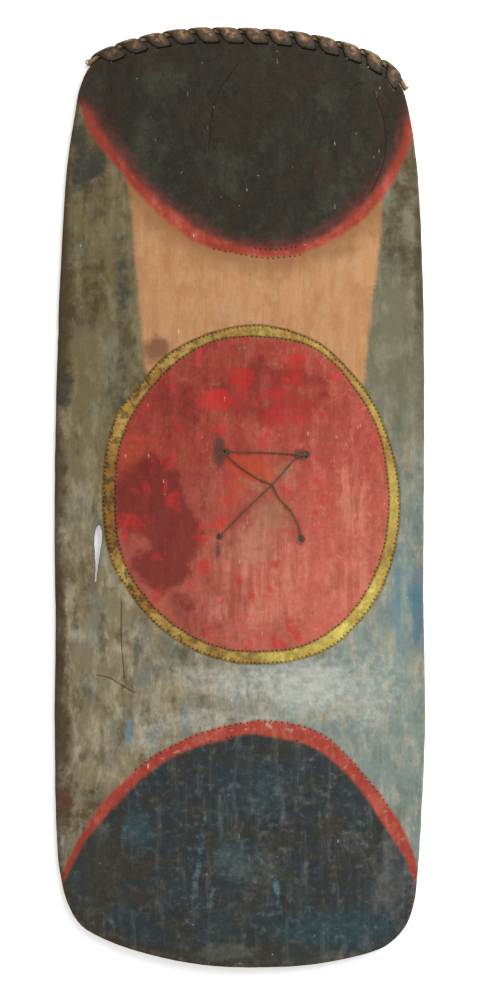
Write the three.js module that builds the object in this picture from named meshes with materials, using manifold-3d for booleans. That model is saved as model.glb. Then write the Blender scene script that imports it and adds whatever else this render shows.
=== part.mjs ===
// War shield: one adzed wooden board, cambered across its width, with a cane whipping along its top
// edge and a carrying cord laced through four holes in the middle.
// It lies on its back. X is across the board, Y points to its top, Z up out of the painted face,
// and the back's two flat bearing strips lie in the plane Z = 0. All lengths are in millimetres.

import * as THREE from 'three';
import { mergeVertices } from 'three/addons/utils/BufferGeometryUtils.js';
import Module from 'manifold-3d';

// The board
const boardHeight = 1539;
const boardWidth = 615;
const middleThickness = 18;
const sideThickness = 13;
const backHollow = 12;
const bearingWidth = 28;
const arrisRadius = 4;

// The four cord holes, from the middle of the board, and the cord
const cordHoles = {
  upperLeft: { x: -23, y: 81 },
  upperRight: { x: 109, y: 76.5 },
  lowerLeft: { x: -34.5, y: -59 },
  lowerRight: { x: 101, y: -63 },
};
const cordDiameter = 2.6;
const cordKnotRadius = 3.4;
const mendKnotRadius = 2.3;
const topKnot = { x: 97, y: 75 };
const mendKnot = { x: 82.5, y: -13.5 };
const cordCrossing = { x: 52.5, y: 26.5 };
const strandAir = 1;
const cordHoleRoom = 1.9;

// The split that goes right through beside the painted disc: its upper end, and its shape
const split = { x: -232, y: -39 };
const splitLength = 95;
const splitWidth = 14;
const splitTailWidth = 4;

// The whipping: a bundle of cane along the rim, and one flat strip that is sewn over it
const bundleHeight = 8;
const bundleWidth = 12;
const stitchPitch = 40.5;
const stitchDepth = 14;
const stitchSlotLength = 26;
const stitchSlotWidth = 5;
const stitchRoom = 1.2;
const stripWidth = 34.5;
const stripThickness = 1.5;
const stripCrown = 1.4;
const curlRadius = 4.6;
const curlThickness = 3.6;
const stubLength = 10;
const stubDiameter = 6;

// What touches keeps this much air
const clearance = 0.4;

// How finely round things are cut
const outlineStepsPerPoint = 3;
const cordSides = 8;
const bundleSides = 6;
const archSteps = 6;
const holeSides = 16;

const colours = {
  board: 0x6f5a4c,
  bundle: 0xa58a5c,
  strip: 0x7a4a2c,
  cord: 0x4a3c30,
};

// Outline of the board, counter-clockwise from the middle of the top, as shares of half the width
// and half the height. The foot is broader than the head, and its left corner slopes more.
const outlineShares = [
  [-0.03, 1.0], [-0.27, 0.999], [-0.49, 0.986], [-0.69, 0.962], [-0.8, 0.936], [-0.855, 0.895],
  [-0.885, 0.84], [-0.93, 0.72], [-0.962, 0.53], [-0.982, 0.33], [-0.995, 0.12], [-0.999, -0.08],
  [-0.993, -0.27], [-0.998, -0.47], [-0.99, -0.68], [-0.972, -0.79], [-0.925, -0.865],
  [-0.85, -0.912], [-0.7, -0.944], [-0.45, -0.975], [-0.2, -0.993], [0.1, -0.9985], [0.35, -0.994],
  [0.6, -0.978], [0.78, -0.955], [0.885, -0.915], [0.935, -0.865], [0.957, -0.79], [0.98, -0.65],
  [0.997, -0.47], [0.988, -0.2], [0.991, 0.05], [0.992, 0.3], [0.978, 0.55], [0.95, 0.73],
  [0.915, 0.825], [0.877, 0.882], [0.818, 0.917], [0.7, 0.949], [0.51, 0.975], [0.27, 0.9935],
];

const halfWidth = boardWidth / 2;
const halfHeight = boardHeight / 2;

const outline = new THREE.CatmullRomCurve3(
  outlineShares.map(([across, along]) => new THREE.Vector3(across * halfWidth, along * halfHeight, 0)),
  true,
);

// Height of the painted face: a parabola across the board that falls to the side thickness.
function frontHeight(x) {
  const crown = backHollow + middleThickness - sideThickness;
  return sideThickness + crown * (1 - (x / halfWidth) ** 2);
}

// Height of the back: a parabola that meets the bearing plane where the bearing strips begin.
function backHeight(x) {
  return backHollow * (1 - (x / (halfWidth - bearingWidth)) ** 2);
}

// One closed solid through rings of as many points each, with a fan over its first and last ring.
// The rings run counter-clockwise as seen from the last one.
function loft(rings) {
  const count = rings[0].length;
  const points = rings.flat();
  const triangles = [];
  for (let ring = 0; ring + 1 < rings.length; ring += 1) {
    for (let side = 0; side < count; side += 1) {
      const a = ring * count + side;
      const b = ring * count + ((side + 1) % count);
      triangles.push(a, b, a + count, b, b + count, a + count);
    }
  }
  const middleOf = (ring) => ring.reduce((sum, point) => sum.add(point), new THREE.Vector3())
    .divideScalar(ring.length);
  const first = points.push(middleOf(rings[0])) - 1;
  const last = points.push(middleOf(rings.at(-1))) - 1;
  const lastRing = (rings.length - 1) * count;
  for (let side = 0; side < count; side += 1) {
    const next = (side + 1) % count;
    triangles.push(first, next, side, last, lastRing + side, lastRing + next);
  }
  const geometry = new THREE.BufferGeometry().setFromPoints(points);
  geometry.setIndex(triangles);
  return geometry;
}

const wasm = await Module();
wasm.setup();

function solidOf(geometry) {
  const bare = new THREE.BufferGeometry();
  bare.setAttribute('position', geometry.getAttribute('position'));
  bare.setIndex(geometry.getIndex());
  const merged = mergeVertices(bare, 1e-4);
  return new wasm.Manifold(new wasm.Mesh({
    numProp: 3,
    vertProperties: new Float32Array(merged.getAttribute('position').array),
    triVerts: new Uint32Array(merged.getIndex().array),
  }));
}

function geometryOf(solid) {
  const mesh = solid.getMesh();
  const geometry = new THREE.BufferGeometry();
  geometry.setAttribute('position', new THREE.BufferAttribute(new Float32Array(mesh.vertProperties), 3));
  geometry.setIndex(new THREE.BufferAttribute(new Uint32Array(mesh.triVerts), 1));
  geometry.computeVertexNormals();
  return geometry;
}

function piece(name, geometry, colour, roughness) {
  const material = new THREE.MeshStandardMaterial({ color: colour, roughness, metalness: 0 });
  const mesh = new THREE.Mesh(geometry, material);
  mesh.name = name;
  return mesh;
}

// A point of the outline, moved inwards square to it.
function insetPoint(share, inset) {
  const point = outline.getPoint(share);
  const tangent = outline.getTangent(share);
  return point.add(new THREE.Vector3(-tangent.y, tangent.x, 0).multiplyScalar(inset));
}

// The board's blank: rings from the middle of the back, round the arris, to the middle of the face.
function boardBlank() {
  const steps = outlineShares.length * outlineStepsPerPoint;
  const shares = Array.from({ length: steps }, (_, step) => step / steps);
  const ring = (inset, scale, height) => shares.map((share) => {
    const point = insetPoint(share, inset);
    point.x *= scale;
    point.y *= scale;
    point.z = height(point.x);
    return point;
  });
  const scales = [0.15, 0.4, 0.63, 0.83];
  const corner = arrisRadius * (1 - Math.SQRT1_2);
  return loft([
    ...scales.map((scale) => ring(arrisRadius, scale, backHeight)),
    ring(arrisRadius, 1, backHeight),
    ring(corner, 1, (x) => backHeight(x) + corner),
    ring(0, 1, (x) => backHeight(x) + arrisRadius),
    ring(0, 1, (x) => frontHeight(x) - arrisRadius),
    ring(corner, 1, (x) => frontHeight(x) - corner),
    ring(arrisRadius, 1, frontHeight),
    ...scales.toReversed().map((scale) => ring(arrisRadius, scale, frontHeight)),
  ]);
}

// An upright cutter through the board.
const cutterHeight = 4 * (backHollow + middleThickness);

function holeCutter(x, y, diameter) {
  const cutter = new THREE.CylinderGeometry(diameter / 2, diameter / 2, cutterHeight, holeSides);
  cutter.rotateX(Math.PI / 2).translate(x, y, 0);
  return solidOf(cutter);
}

// A slot for the strip, along the rim.
function slotCutter(along) {
  const { x, y } = besideRim(along, -stitchDepth, 0);
  const ahead = besideRim(along + stitchSlotWidth, -stitchDepth, 0);
  const cutter = new THREE.BoxGeometry(stitchSlotLength, stitchSlotWidth, cutterHeight);
  cutter.rotateZ(Math.atan2(ahead.y - y, ahead.x - x)).translate(x, y, 0);
  return solidOf(cutter);
}

// The split: a drop, widest near its top, that leans to the left and ends in a small round foot.
function splitCutter() {
  const head = splitWidth / 2;
  const tail = splitTailWidth / 2;
  const foot = -splitLength + tail;
  const drop = new THREE.Shape();
  drop.moveTo(0, 0);
  drop.bezierCurveTo(-0.9 * head, -0.3 * head, -1.3 * head, -1.6 * head, -1.3 * head, -4.2 * head);
  drop.bezierCurveTo(-1.3 * head, -8 * head, -0.7 * head, foot + 3 * head, -head - tail, foot);
  drop.absarc(-head, foot, tail, Math.PI, 2 * Math.PI, false);
  drop.bezierCurveTo(-0.5 * head, foot + 3 * head, 0.1 * head, -7 * head, 0.62 * head, -3.6 * head);
  drop.bezierCurveTo(0.8 * head, -2.2 * head, 0.7 * head, -0.9 * head, 0, 0);
  const cutter = new THREE.ExtrudeGeometry(drop, { depth: cutterHeight, bevelEnabled: false, curveSegments: 6 });
  cutter.translate(split.x, split.y, -cutterHeight / 2);
  return solidOf(cutter);
}

// The stretch of rim that is whipped, between two points of the outline.
const rimLeftShare = 4 / outlineShares.length;
const rimRightShare = (outlineShares.length - 5) / outlineShares.length - 1;
const rim = new THREE.CatmullRomCurve3(
  Array.from({ length: 57 }, (_, step) => (
    outline.getPoint(THREE.MathUtils.euclideanModulo(
      THREE.MathUtils.lerp(rimLeftShare, rimRightShare, step / 56), 1,
    )))),
);
const rimLength = rim.getLength();

// A point beside the rim: along it, out from it, and up from the middle of the board's thickness.
function besideRim(along, outward, up) {
  const share = THREE.MathUtils.clamp(along / rimLength, 0, 1);
  const point = rim.getPointAt(share);
  const tangent = rim.getTangentAt(share);
  const beyond = along - share * rimLength;
  point.addScaledVector(tangent, beyond);
  point.add(new THREE.Vector3(-tangent.y, tangent.x, 0).multiplyScalar(outward));
  point.z = (frontHeight(point.x) + backHeight(point.x)) / 2 + up;
  return point;
}

function halfThicknessAt(along) {
  const { x } = besideRim(along, 0, 0);
  return (frontHeight(x) - backHeight(x)) / 2;
}

// The slots: the last turn of the strip, which leans from its slot to the left, stays clear of the curl.
const stripNeck = stitchSlotLength - 2 * stitchRoom;
const stitchStart = curlRadius + curlThickness / 2 + 5 * clearance + (stripWidth + stitchPitch) / 2;
const stitchCount = Math.floor((rimLength - stitchSlotLength / 2 - stitchStart) / stitchPitch) + 1;
const stitches = Array.from({ length: stitchCount }, (_, stitch) => stitchStart + stitch * stitchPitch);

// The bundle of cane: an oval that follows the rim, with a curled end on the left and a cut stub on
// the right.
function bundleSolid() {
  const stations = 3 * stitchCount + 3;
  const rings = Array.from({ length: stations + 1 }, (_, station) => {
    const along = THREE.MathUtils.lerp(0, rimLength, station / stations);
    const swell = station === 0 || station === stations ? 0.5 : 1;
    return Array.from({ length: bundleSides }, (_unused, side) => {
      const turn = (2 * Math.PI * side) / bundleSides;
      return besideRim(
        along,
        clearance + (bundleHeight / 2) * (1 + swell * Math.cos(turn)),
        (bundleWidth / 2) * swell * Math.sin(turn),
      );
    });
  });

  const curl = new THREE.TorusGeometry(curlRadius, curlThickness / 2, bundleSides, 2 * bundleSides);
  const curlPlace = besideRim(0, clearance + curlRadius + curlThickness / 2, 0);
  curl.translate(curlPlace.x, curlPlace.y, curlPlace.z);

  const stub = new THREE.ConeGeometry(stubDiameter / 2, stubLength, bundleSides);
  const stubFoot = besideRim(rimLength, clearance + bundleHeight / 4, 0);
  const stubTip = besideRim(rimLength, clearance + bundleHeight / 4 + stubLength, 0);
  const outward = stubTip.clone().sub(stubFoot).setZ(0).normalize();
  stub.applyQuaternion(new THREE.Quaternion().setFromUnitVectors(new THREE.Vector3(0, 1, 0), outward));
  const stubPlace = stubFoot.addScaledVector(outward, stubLength / 2);
  stub.translate(stubPlace.x, stubPlace.y, stubPlace.z);

  return solidOf(loft(rings)).add(solidOf(curl)).add(solidOf(stub));
}

// One turn of the strip: out of its slot at the face, over the bundle, and down the back to the next
// slot. Each station gives its place outward and up from the rim, and the strip's width and crown.
function turnStations(halfThickness) {
  const proud = halfThickness + clearance + stripThickness / 2;
  const over = 3 * clearance + bundleHeight + stripThickness / 2;
  const leg = (side, crown) => [
    { outward: -stitchDepth, up: side * (halfThickness - 1), width: stripNeck, crown: 0 },
    { outward: -stitchDepth * 0.95, up: side * proud, width: stripNeck, crown: 0 },
    { outward: -stitchDepth * 0.75, up: side * proud, width: (stripNeck + stripWidth) / 2, crown: crown / 2 },
    { outward: -stitchDepth * 0.45, up: side * proud, width: stripWidth, crown },
  ];
  const arch = Array.from({ length: archSteps + 1 }, (_, step) => {
    const turn = (Math.PI * step) / archSteps;
    return {
      outward: over * Math.sin(turn),
      up: proud * Math.cos(turn),
      width: stripWidth,
      crown: stripCrown * Math.cos(turn / 2),
    };
  });
  return [...leg(1, stripCrown), ...arch, ...leg(-1, 0).reverse()];
}

// Section of the strip: flat below, crowned above, as [along, above] at each corner.
function stripSection({ width, crown }) {
  const low = -stripThickness / 2;
  const high = stripThickness / 2;
  return [
    [-width / 2, low], [-width / 2, high], [-width / 4, high + crown],
    [width / 4, high + crown], [width / 2, high], [width / 2, low], [0, low],
  ];
}

// The whipping strip, sewn from the rightmost slot to the leftmost one. It slants to the left from
// where it leaves one slot to where it enters the next, and the last turn ends on the back, by the rim.
function stripGeometry() {
  const lastStation = turnStations(1).length - 1;
  const stationsLeftOut = 3;
  const path = stitches.toReversed().flatMap((start) => (
    Array.from({ length: lastStation + 1 }, (_, index) => {
      const done = THREE.MathUtils.clamp((index - 1) / (lastStation - 2), 0, 1);
      return { index, along: start - stitchPitch * done };
    }))).slice(0, -stationsLeftOut);
  const stationAt = (index, along) => turnStations(halfThicknessAt(along))[index];
  const rings = path.map(({ index, along }, order) => {
    const before = stationAt(path[Math.max(0, order - 1)].index, along);
    const after = stationAt(path[Math.min(path.length - 1, order + 1)].index, along);
    const run = new THREE.Vector2(after.outward - before.outward, after.up - before.up).normalize();
    return stripSection(stationAt(index, along)).map(([sideways, above]) => {
      const station = stationAt(index, along + sideways);
      return besideRim(along + sideways, station.outward - run.y * above, station.up + run.x * above);
    });
  });
  return loft(rings);
}

// A curve whose steps are shared out evenly between its points, so that tight bends get more of them.
class PointPacedCurve extends THREE.CatmullRomCurve3 {
  getPointAt(share, target) {
    return this.getPoint(share, target);
  }

  getTangentAt(share, target) {
    return this.getTangent(share, target);
  }
}

const cordRadius = cordDiameter / 2;
const strandSpacing = cordDiameter + strandAir;
const cordHoleDiameter = strandSpacing + cordDiameter + 2 * cordHoleRoom;

function onFace(x, y, lift = 0) {
  return new THREE.Vector3(x, y, frontHeight(x) + clearance + cordRadius + lift);
}

function onBack(x, y, lift = 0) {
  return new THREE.Vector3(x, y, backHeight(x) - clearance - cordRadius - lift);
}

// The cord down a hole, from the face to the back: it comes from one point and leaves to another.
// A strand that shares its hole stands aside from the middle.
function throughHole(hole, from, to, aside = [0, 0]) {
  const place = new THREE.Vector2(hole.x + aside[0], hole.y + aside[1]);
  const reach = cordHoleDiameter / 2 + 1.5 * cordRadius;
  const toward = (point) => new THREE.Vector2(point.x, point.y).sub(place).setLength(reach).add(place);
  const entry = toward(from);
  const exit = toward(to);
  const sunk = 2 * cordRadius;
  return [
    onFace(entry.x, entry.y, 3 * clearance),
    new THREE.Vector3(place.x, place.y, frontHeight(place.x) - sunk),
    new THREE.Vector3(place.x, place.y, backHeight(place.x) + sunk),
    onBack(exit.x, exit.y, 3 * clearance),
  ];
}

// The cord's route: knotted beside the upper right hole, it runs along the top, laces down the back,
// crosses the face twice, and ends in a knot behind the upper left hole.
function cordRoute() {
  const { upperLeft, upperRight, lowerLeft, lowerRight } = cordHoles;
  const overCrossing = cordDiameter + 2 * clearance;
  const upperStrand = [strandSpacing * 0.12, strandSpacing * 0.42];
  const lowerStrand = [-strandSpacing * 0.36, -strandSpacing * 0.36];
  const slackStart = { x: 98, y: -44 };
  const slackEnd = { x: -4, y: 60 };
  const behindLeft = { x: -34, y: 84 };
  const endKnot = { x: -17.5, y: 76.5 };
  return [
    onFace(topKnot.x - 2.5, topKnot.y + 2.5, 1),
    onFace(37, 80.5),
    ...throughHole(upperLeft, topKnot, behindLeft, upperStrand),
    onBack(behindLeft.x, behindLeft.y),
    onBack(-41, 60),
    onBack(-38, 0),
    ...throughHole(lowerLeft, cordCrossing, { x: -37, y: 0 }).reverse(),
    onFace(0, -24),
    onFace(cordCrossing.x - 14, cordCrossing.y - 13, 1),
    onFace(cordCrossing.x, cordCrossing.y, overCrossing),
    onFace(cordCrossing.x + 13, cordCrossing.y + 14, 1),
    onFace(topKnot.x, topKnot.y, cordKnotRadius - cordRadius),
    ...throughHole(upperRight, topKnot, lowerRight),
    onBack(106, 5),
    ...throughHole(lowerRight, slackStart, upperRight).reverse(),
    onFace(slackStart.x, slackStart.y, 1.5),
    onFace(86, -19, 1.5),
    onFace(65, 5, 0.8),
    onFace(cordCrossing.x, cordCrossing.y),
    onFace(32, 36),
    onFace(slackEnd.x, slackEnd.y),
    ...throughHole(upperLeft, slackEnd, endKnot, lowerStrand).slice(0, -1),
    onBack(endKnot.x, endKnot.y, cordKnotRadius - cordRadius),
  ];
}

function cordSolid() {
  const route = new PointPacedCurve(cordRoute());
  const section = new THREE.Shape(Array.from({ length: cordSides }, (_, side) => {
    const turn = (2 * Math.PI * side) / cordSides;
    return new THREE.Vector2(cordRadius * Math.cos(turn), cordRadius * Math.sin(turn));
  }));
  const steps = 2 * (route.points.length - 1);
  const tube = new THREE.ExtrudeGeometry(section, { steps, extrudePath: route });
  const knot = (place, radius) => solidOf(
    new THREE.SphereGeometry(radius, cordSides, cordSides - 2).translate(place.x, place.y, place.z),
  );
  return solidOf(tube)
    .add(knot(onFace(topKnot.x, topKnot.y, cordKnotRadius - cordRadius), cordKnotRadius))
    .add(knot(onFace(mendKnot.x, mendKnot.y, mendKnotRadius - cordRadius), mendKnotRadius))
    .add(knot(route.points.at(-1), cordKnotRadius));
}

const board = (() => {
  let solid = solidOf(boardBlank());
  const plane = new THREE.BoxGeometry(2 * boardWidth, 2 * boardHeight, cutterHeight);
  plane.translate(0, 0, -cutterHeight / 2);
  solid = solid.subtract(solidOf(plane));
  for (const { x, y } of Object.values(cordHoles)) {
    solid = solid.subtract(holeCutter(x, y, cordHoleDiameter));
  }
  for (const along of stitches) {
    solid = solid.subtract(slotCutter(along));
  }
  return solid.subtract(splitCutter());
})();

const shield = new THREE.Group();
shield.add(
  piece('board', geometryOf(board), colours.board, 0.8),
  piece('rim_bundle', geometryOf(bundleSolid()), colours.bundle, 0.7),
  piece('rim_strip', stripGeometry(), colours.strip, 0.5),
  piece('carrying_cord', geometryOf(cordSolid()), colours.cord, 0.85),
);

// The origin goes under the middle of the whole shield, in the plane that it lies on.
const extent = new THREE.Box3().setFromObject(shield);
const middle = extent.getCenter(new THREE.Vector3());
shield.position.set(-middle.x, -middle.y, -extent.min.z);

export default shield;
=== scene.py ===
# A painted wooden war shield that lies on its back: one cambered board, a cane whipping along its top
# edge, and a carrying cord laced through four holes. X is across the board, Y points to its top and Z
# out of the painted face. Lengths are in metres.

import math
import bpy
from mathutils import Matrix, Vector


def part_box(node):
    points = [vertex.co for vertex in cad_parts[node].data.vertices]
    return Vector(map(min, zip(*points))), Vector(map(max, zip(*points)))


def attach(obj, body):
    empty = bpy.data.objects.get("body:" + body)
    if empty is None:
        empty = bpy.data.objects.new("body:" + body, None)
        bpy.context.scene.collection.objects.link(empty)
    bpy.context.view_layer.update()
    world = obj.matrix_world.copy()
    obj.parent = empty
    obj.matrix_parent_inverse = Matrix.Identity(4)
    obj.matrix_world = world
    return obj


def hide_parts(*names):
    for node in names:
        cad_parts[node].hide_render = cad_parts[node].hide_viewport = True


bl_info = {
    "name": "Wooden War Shield",
    "version": (1, 0, 0),
    "blender": (4, 5, 0),
    "location": "3D View > Sidebar > Shield",
    "description": "Builds a painted wooden war shield, its cane whipping and its carrying cord",
    "category": "Add Mesh",
}

import bpy
import numpy as np
from mathutils.geometry import delaunay_2d_cdt

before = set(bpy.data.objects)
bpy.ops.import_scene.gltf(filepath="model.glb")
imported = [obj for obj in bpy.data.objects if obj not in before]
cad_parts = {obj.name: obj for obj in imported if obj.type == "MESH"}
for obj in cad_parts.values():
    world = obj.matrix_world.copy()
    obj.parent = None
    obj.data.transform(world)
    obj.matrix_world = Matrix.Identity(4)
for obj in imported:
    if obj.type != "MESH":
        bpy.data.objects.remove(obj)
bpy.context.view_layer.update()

MM = 0.001

# A number that stands in for 0 in a division, and how many places and spots are compared at once
TINY = 1e-12
PLACES_AT_ONCE = 2048
SPOTS_AT_ONCE = 32

# The photograph: metres a pixel at the painted face, the pixel that shows the frame's origin, and its
# width and height in pixels.
PHOTO_SCALE = 1.6454 * MM
PHOTO_ORIGIN = (239.8, 497.2)
PHOTO_SIZE = (480, 990)

# Outline of the board, counter-clockwise from the middle of the top, as shares of half the width and
# half the height.
OUTLINE_SHARES = (
    (-0.03, 1.0), (-0.27, 0.999), (-0.49, 0.986), (-0.69, 0.962), (-0.8, 0.936), (-0.855, 0.895),
    (-0.885, 0.84), (-0.93, 0.72), (-0.962, 0.53), (-0.982, 0.33), (-0.995, 0.12), (-0.999, -0.08),
    (-0.993, -0.27), (-0.998, -0.47), (-0.99, -0.68), (-0.972, -0.79), (-0.925, -0.865),
    (-0.85, -0.912), (-0.7, -0.944), (-0.45, -0.975), (-0.2, -0.993), (0.1, -0.9985), (0.35, -0.994),
    (0.6, -0.978), (0.78, -0.955), (0.885, -0.915), (0.935, -0.865), (0.957, -0.79), (0.98, -0.65),
    (0.997, -0.47), (0.988, -0.2), (0.991, 0.05), (0.992, 0.3), (0.978, 0.55), (0.95, 0.73),
    (0.915, 0.825), (0.877, 0.882), (0.818, 0.917), (0.7, 0.949), (0.51, 0.975), (0.27, 0.9935),
)
OUTLINE_STEPS = 22
# The whipped stretch of the rim lies between two of the outline's points
RIM_LEFT_POINT = 4
RIM_RIGHT_POINT = 36

# Sides of a round hole
HOLE_SIDES = 28

# Cord holes, knots and crossing, in millimetres from the middle of the board.
UPPER_LEFT = (-23, 81)
UPPER_RIGHT = (109, 76.5)
LOWER_LEFT = (-34.5, -59)
LOWER_RIGHT = (101, -63)
TOP_KNOT = (97, 75)
MEND_KNOT = (82.5, -13.5)
CROSSING = (52.5, 26.5)
SLACK_START = (98, -44)
SLACK_END = (-4, 60)
BEHIND_LEFT = (-34, 84)
END_KNOT = (-17.5, 76.5)

# The painted lines, as pixels of the photograph. The lines of the head and the foot run from left to
# right past the edges of the board, and the disc's run round it.
HEAD_BAND_OUTER = (
    (62, 60), (79, 104), (91, 134), (105, 153), (121, 173), (139, 194), (160, 215), (186, 236),
    (217, 250), (249, 255), (278, 257), (310, 250), (339, 236), (357, 224), (371, 211), (392, 184),
    (400, 168), (409, 150), (414, 128), (420, 100),
)
HEAD_BAND_INNER = (
    (74, 66), (88, 104), (98, 125), (115, 150), (135, 176), (155, 196), (177, 214), (200, 230),
    (222, 240), (249, 247), (278, 249), (315, 240), (341, 223), (356, 210), (369, 198), (381, 183),
    (391, 167), (400, 150), (407, 126), (415, 90),
)
FOOT_BAND_OUTER = (
    (50, 906), (62, 873), (96, 812), (137, 769), (160, 752), (197, 734), (228, 725), (262, 720),
    (291, 723), (322, 734), (354, 763), (388, 805), (411, 846), (420, 876), (432, 920),
)
FOOT_BAND_INNER = (
    (52, 908), (66, 878), (77, 857), (88, 838), (118, 803), (158, 766), (193, 748), (223, 740),
    (252, 734), (275, 738), (299, 742), (325, 755), (358, 787), (380, 820), (406, 860), (416, 887),
    (424, 920),
)
DISC_OUTER = (
    (254, 324), (205, 334), (164, 356), (140, 383), (118, 410), (107, 441), (102, 478), (103, 526),
    (111, 563), (126, 589), (150, 620), (186, 647), (223, 661), (257, 665), (296, 661), (333, 647),
    (362, 620), (383, 589), (397, 545), (401, 503), (397, 466), (388, 434), (373, 400), (351, 371),
    (322, 344), (290, 330),
)
DISC_INNER = (
    (256, 337), (217, 341), (181, 359), (154, 385), (133, 414), (120, 446), (115, 492), (119, 545),
    (131, 576), (158, 611), (194, 637), (228, 649), (262, 651), (298, 647), (330, 631), (359, 602),
    (379, 563), (388, 518), (386, 466), (376, 426), (358, 394), (334, 364), (306, 345),
)
TAN_FIELD = (
    (118, 150), (131, 200), (138, 290), (146, 372), (364, 384), (374, 290), (381, 240), (383, 190),
    (394, 150),
)

# Rows of punched dots along the bands: the pitch in millimetres, and pixels of the photograph. The last
# few dots stand alone.
BAND_DOTS = (
    (9, (214, 249), (240, 254), (268, 258), (300, 255)),
    (9, (255, 248), (275, 250), (296, 247)),
    (9.5, (136, 770), (160, 753), (197, 735), (228, 726), (262, 721), (291, 724), (322, 735), (354, 764),
     (388, 806)),
)
FOOT_INNER_DOTS = ((182, 758), (210, 742), (227, 738), (232, 737), (297, 741))

# Cracks and long scratches, as pixels of the photograph.
CRACKS = (
    ((374, 92), (384, 120), (384, 160), (372, 190)),
    ((240, 60), (215, 100), (208, 150)),
    ((351, 89), (356, 84), (363, 82)),
    ((97, 676), (108, 678), (120, 685), (134, 693)),
    ((121, 604), (121, 640), (124, 677)),
)

# Rows far above and below the photograph, where the painted ends of the board are closed, and the rows
# between which the head's band fades in.
HEAD_FAR = -60
FOOT_FAR = 1100
BAND_FADE = (92, 118)

# Soft ovals of colour: pixel of the middle, half width and half height in pixels, weight, and the
# degrees that some are turned counter-clockwise.
OVALS = {
    "umber": (
        (60, 300, 12, 110, 1), (58, 480, 8, 90, 0.55), (90, 172, 22, 46, 0.55), (404, 170, 14, 50, 0.5),
        (86, 812, 14, 28, 0.6, -30), (58, 640, 8, 90, 1), (60, 745, 10, 40, 1), (92, 284, 13, 36, 0.5),
        (64, 805, 11, 30, 0.9), (420, 250, 6, 90, 0.7), (398, 240, 18, 50, 0.45),
    ),
    "soot": (
        (62, 392, 9, 20, 1), (80, 150, 8, 40, 0.7), (96, 165, 10, 40, 0.7, -38), (122, 270, 9, 70, 0.6),
        (120, 380, 9, 40, 0.5),
    ),
    "ash": (
        (394, 884, 22, 34, 0.9), (394, 850, 12, 22, 0.8, -20), (250, 862, 34, 18, 0.6),
        (355, 840, 12, 14, 0.5), (290, 800, 50, 20, 0.4), (225, 952, 26, 8, 0.9), (340, 957, 24, 7, 0.8),
    ),
    "sea": (
        (416, 612, 9, 34, 1), (402, 600, 12, 60, 0.7), (198, 862, 3.2, 46, 0.8, -9),
        (212, 900, 3, 7, 0.7), (277, 893, 3.4, 22, 0.7, 11), (124, 835, 3, 20, 0.4, -5),
        (184, 716, 3, 24, 1), (129, 733, 4, 13, 1), (188, 728, 4, 10, 0.8), (230, 790, 3, 26, 0.5),
    ),
    "deep": ((418, 602, 7, 46, 1), (418, 520, 5, 30, 0.5), (398, 560, 8, 30, 0.4)),
    "chalk": (
        (230, 722, 90, 14, 0.45), (164, 748, 40, 16, 0.4, -30), (200, 680, 40, 16, 0.4),
        (252, 684, 60, 16, 0.6), (308, 686, 46, 24, 1), (364, 690, 40, 40, 0.5),
    ),
    "smear": ((157, 350, 14, 12, 1, 20), (126, 430, 8, 20, 0.6), (62, 800, 8, 10, 0.8)),
    "band_shade": (
        (90, 130, 20, 30, 1), (112, 156, 20, 26, 0.8, -40), (404, 150, 14, 26, 0.8, 25),
        (130, 180, 30, 20, 0.8, -40), (75, 850, 18, 30, 1), (230, 250, 40, 8, 0.7),
    ),
    "brown": (
        (95, 115, 30, 26, 1, -40), (130, 60, 50, 10, 0.6), (110, 870, 45, 40, 0.8),
        (220, 955, 120, 14, 0.8),
    ),
    "teal": (
        (138, 832, 14, 20, 1), (330, 930, 60, 20, 0.7), (235, 862, 22, 22, 0.7), (260, 790, 30, 30, 0.5),
    ),
    "bright": ((355, 610, 46, 52, 1, 35), (300, 655, 40, 14, 0.8), (392, 500, 14, 40, 0.5)),
    "rust": ((108, 500, 16, 70, 1), (140, 600, 26, 40, 0.8, -35), (150, 372, 22, 30, 0.6, 40)),
    "rose": (
        (352, 498, 16, 40, 1), (350, 580, 24, 40, 0.7), (265, 565, 50, 40, 0.8), (270, 480, 24, 12, 0.6),
        (250, 610, 50, 16, 0.7),
    ),
    "maroon": (
        (146, 496, 34, 40, 1, -28), (172, 530, 27, 42, 1, 12), (160, 568, 34, 24, 0.8),
        (136, 540, 18, 30, 0.4), (178, 405, 36, 40, 0.5), (182, 604, 20, 20, 0.5),
        (262, 390, 66, 44, 0.55), (310, 392, 30, 34, 0.5), (216, 400, 24, 24, 0.4),
    ),
    "scarlet": (
        (217, 400, 16, 10, 1), (290, 360, 14, 8, 0.8), (203, 567, 7, 10, 1), (275, 565, 4, 4, 0.9),
        (240, 385, 12, 26, 0.6), (225, 500, 12, 40, 0.5), (135, 518, 16, 20, 0.32),
        (285, 400, 34, 30, 0.4), (160, 556, 12, 6, 0.45), (376, 432, 6, 12, 0.5),
    ),
    "ember": ((256, 470, 24, 12, 1, -20), (236, 492, 10, 14, 0.6), (130, 450, 12, 20, 0.6)),
    "worn": (
        (284, 470, 10, 8, 0.8), (256, 487, 16, 3, 0.9, -28), (270, 515, 20, 18, 0.8),
        (250, 545, 30, 20, 0.6),
    ),
    "stain": ((219, 453, 6, 15, 1), (218, 551, 3, 9, 0.9), (302, 455, 9, 6, 0.9), (301, 540, 5, 6, 0.6)),
}


def linear(red, green, blue):
    """The colour that a screen shows as these 0 to 255 values, as a shader takes it."""
    shares = np.array((red, green, blue)) / 255
    straight = np.where(shares <= 0.04045, shares / 12.92, ((shares + 0.055) / 1.055) ** 2.4)
    return (*straight.tolist(), 1.0)


def number(name, description, default, unit="NONE"):
    return bpy.props.FloatProperty(
        name=name, description=description, default=default, precision=4, unit=unit,
    )


def length(name, description, default):
    return number(name, description, default, "LENGTH")


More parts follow.
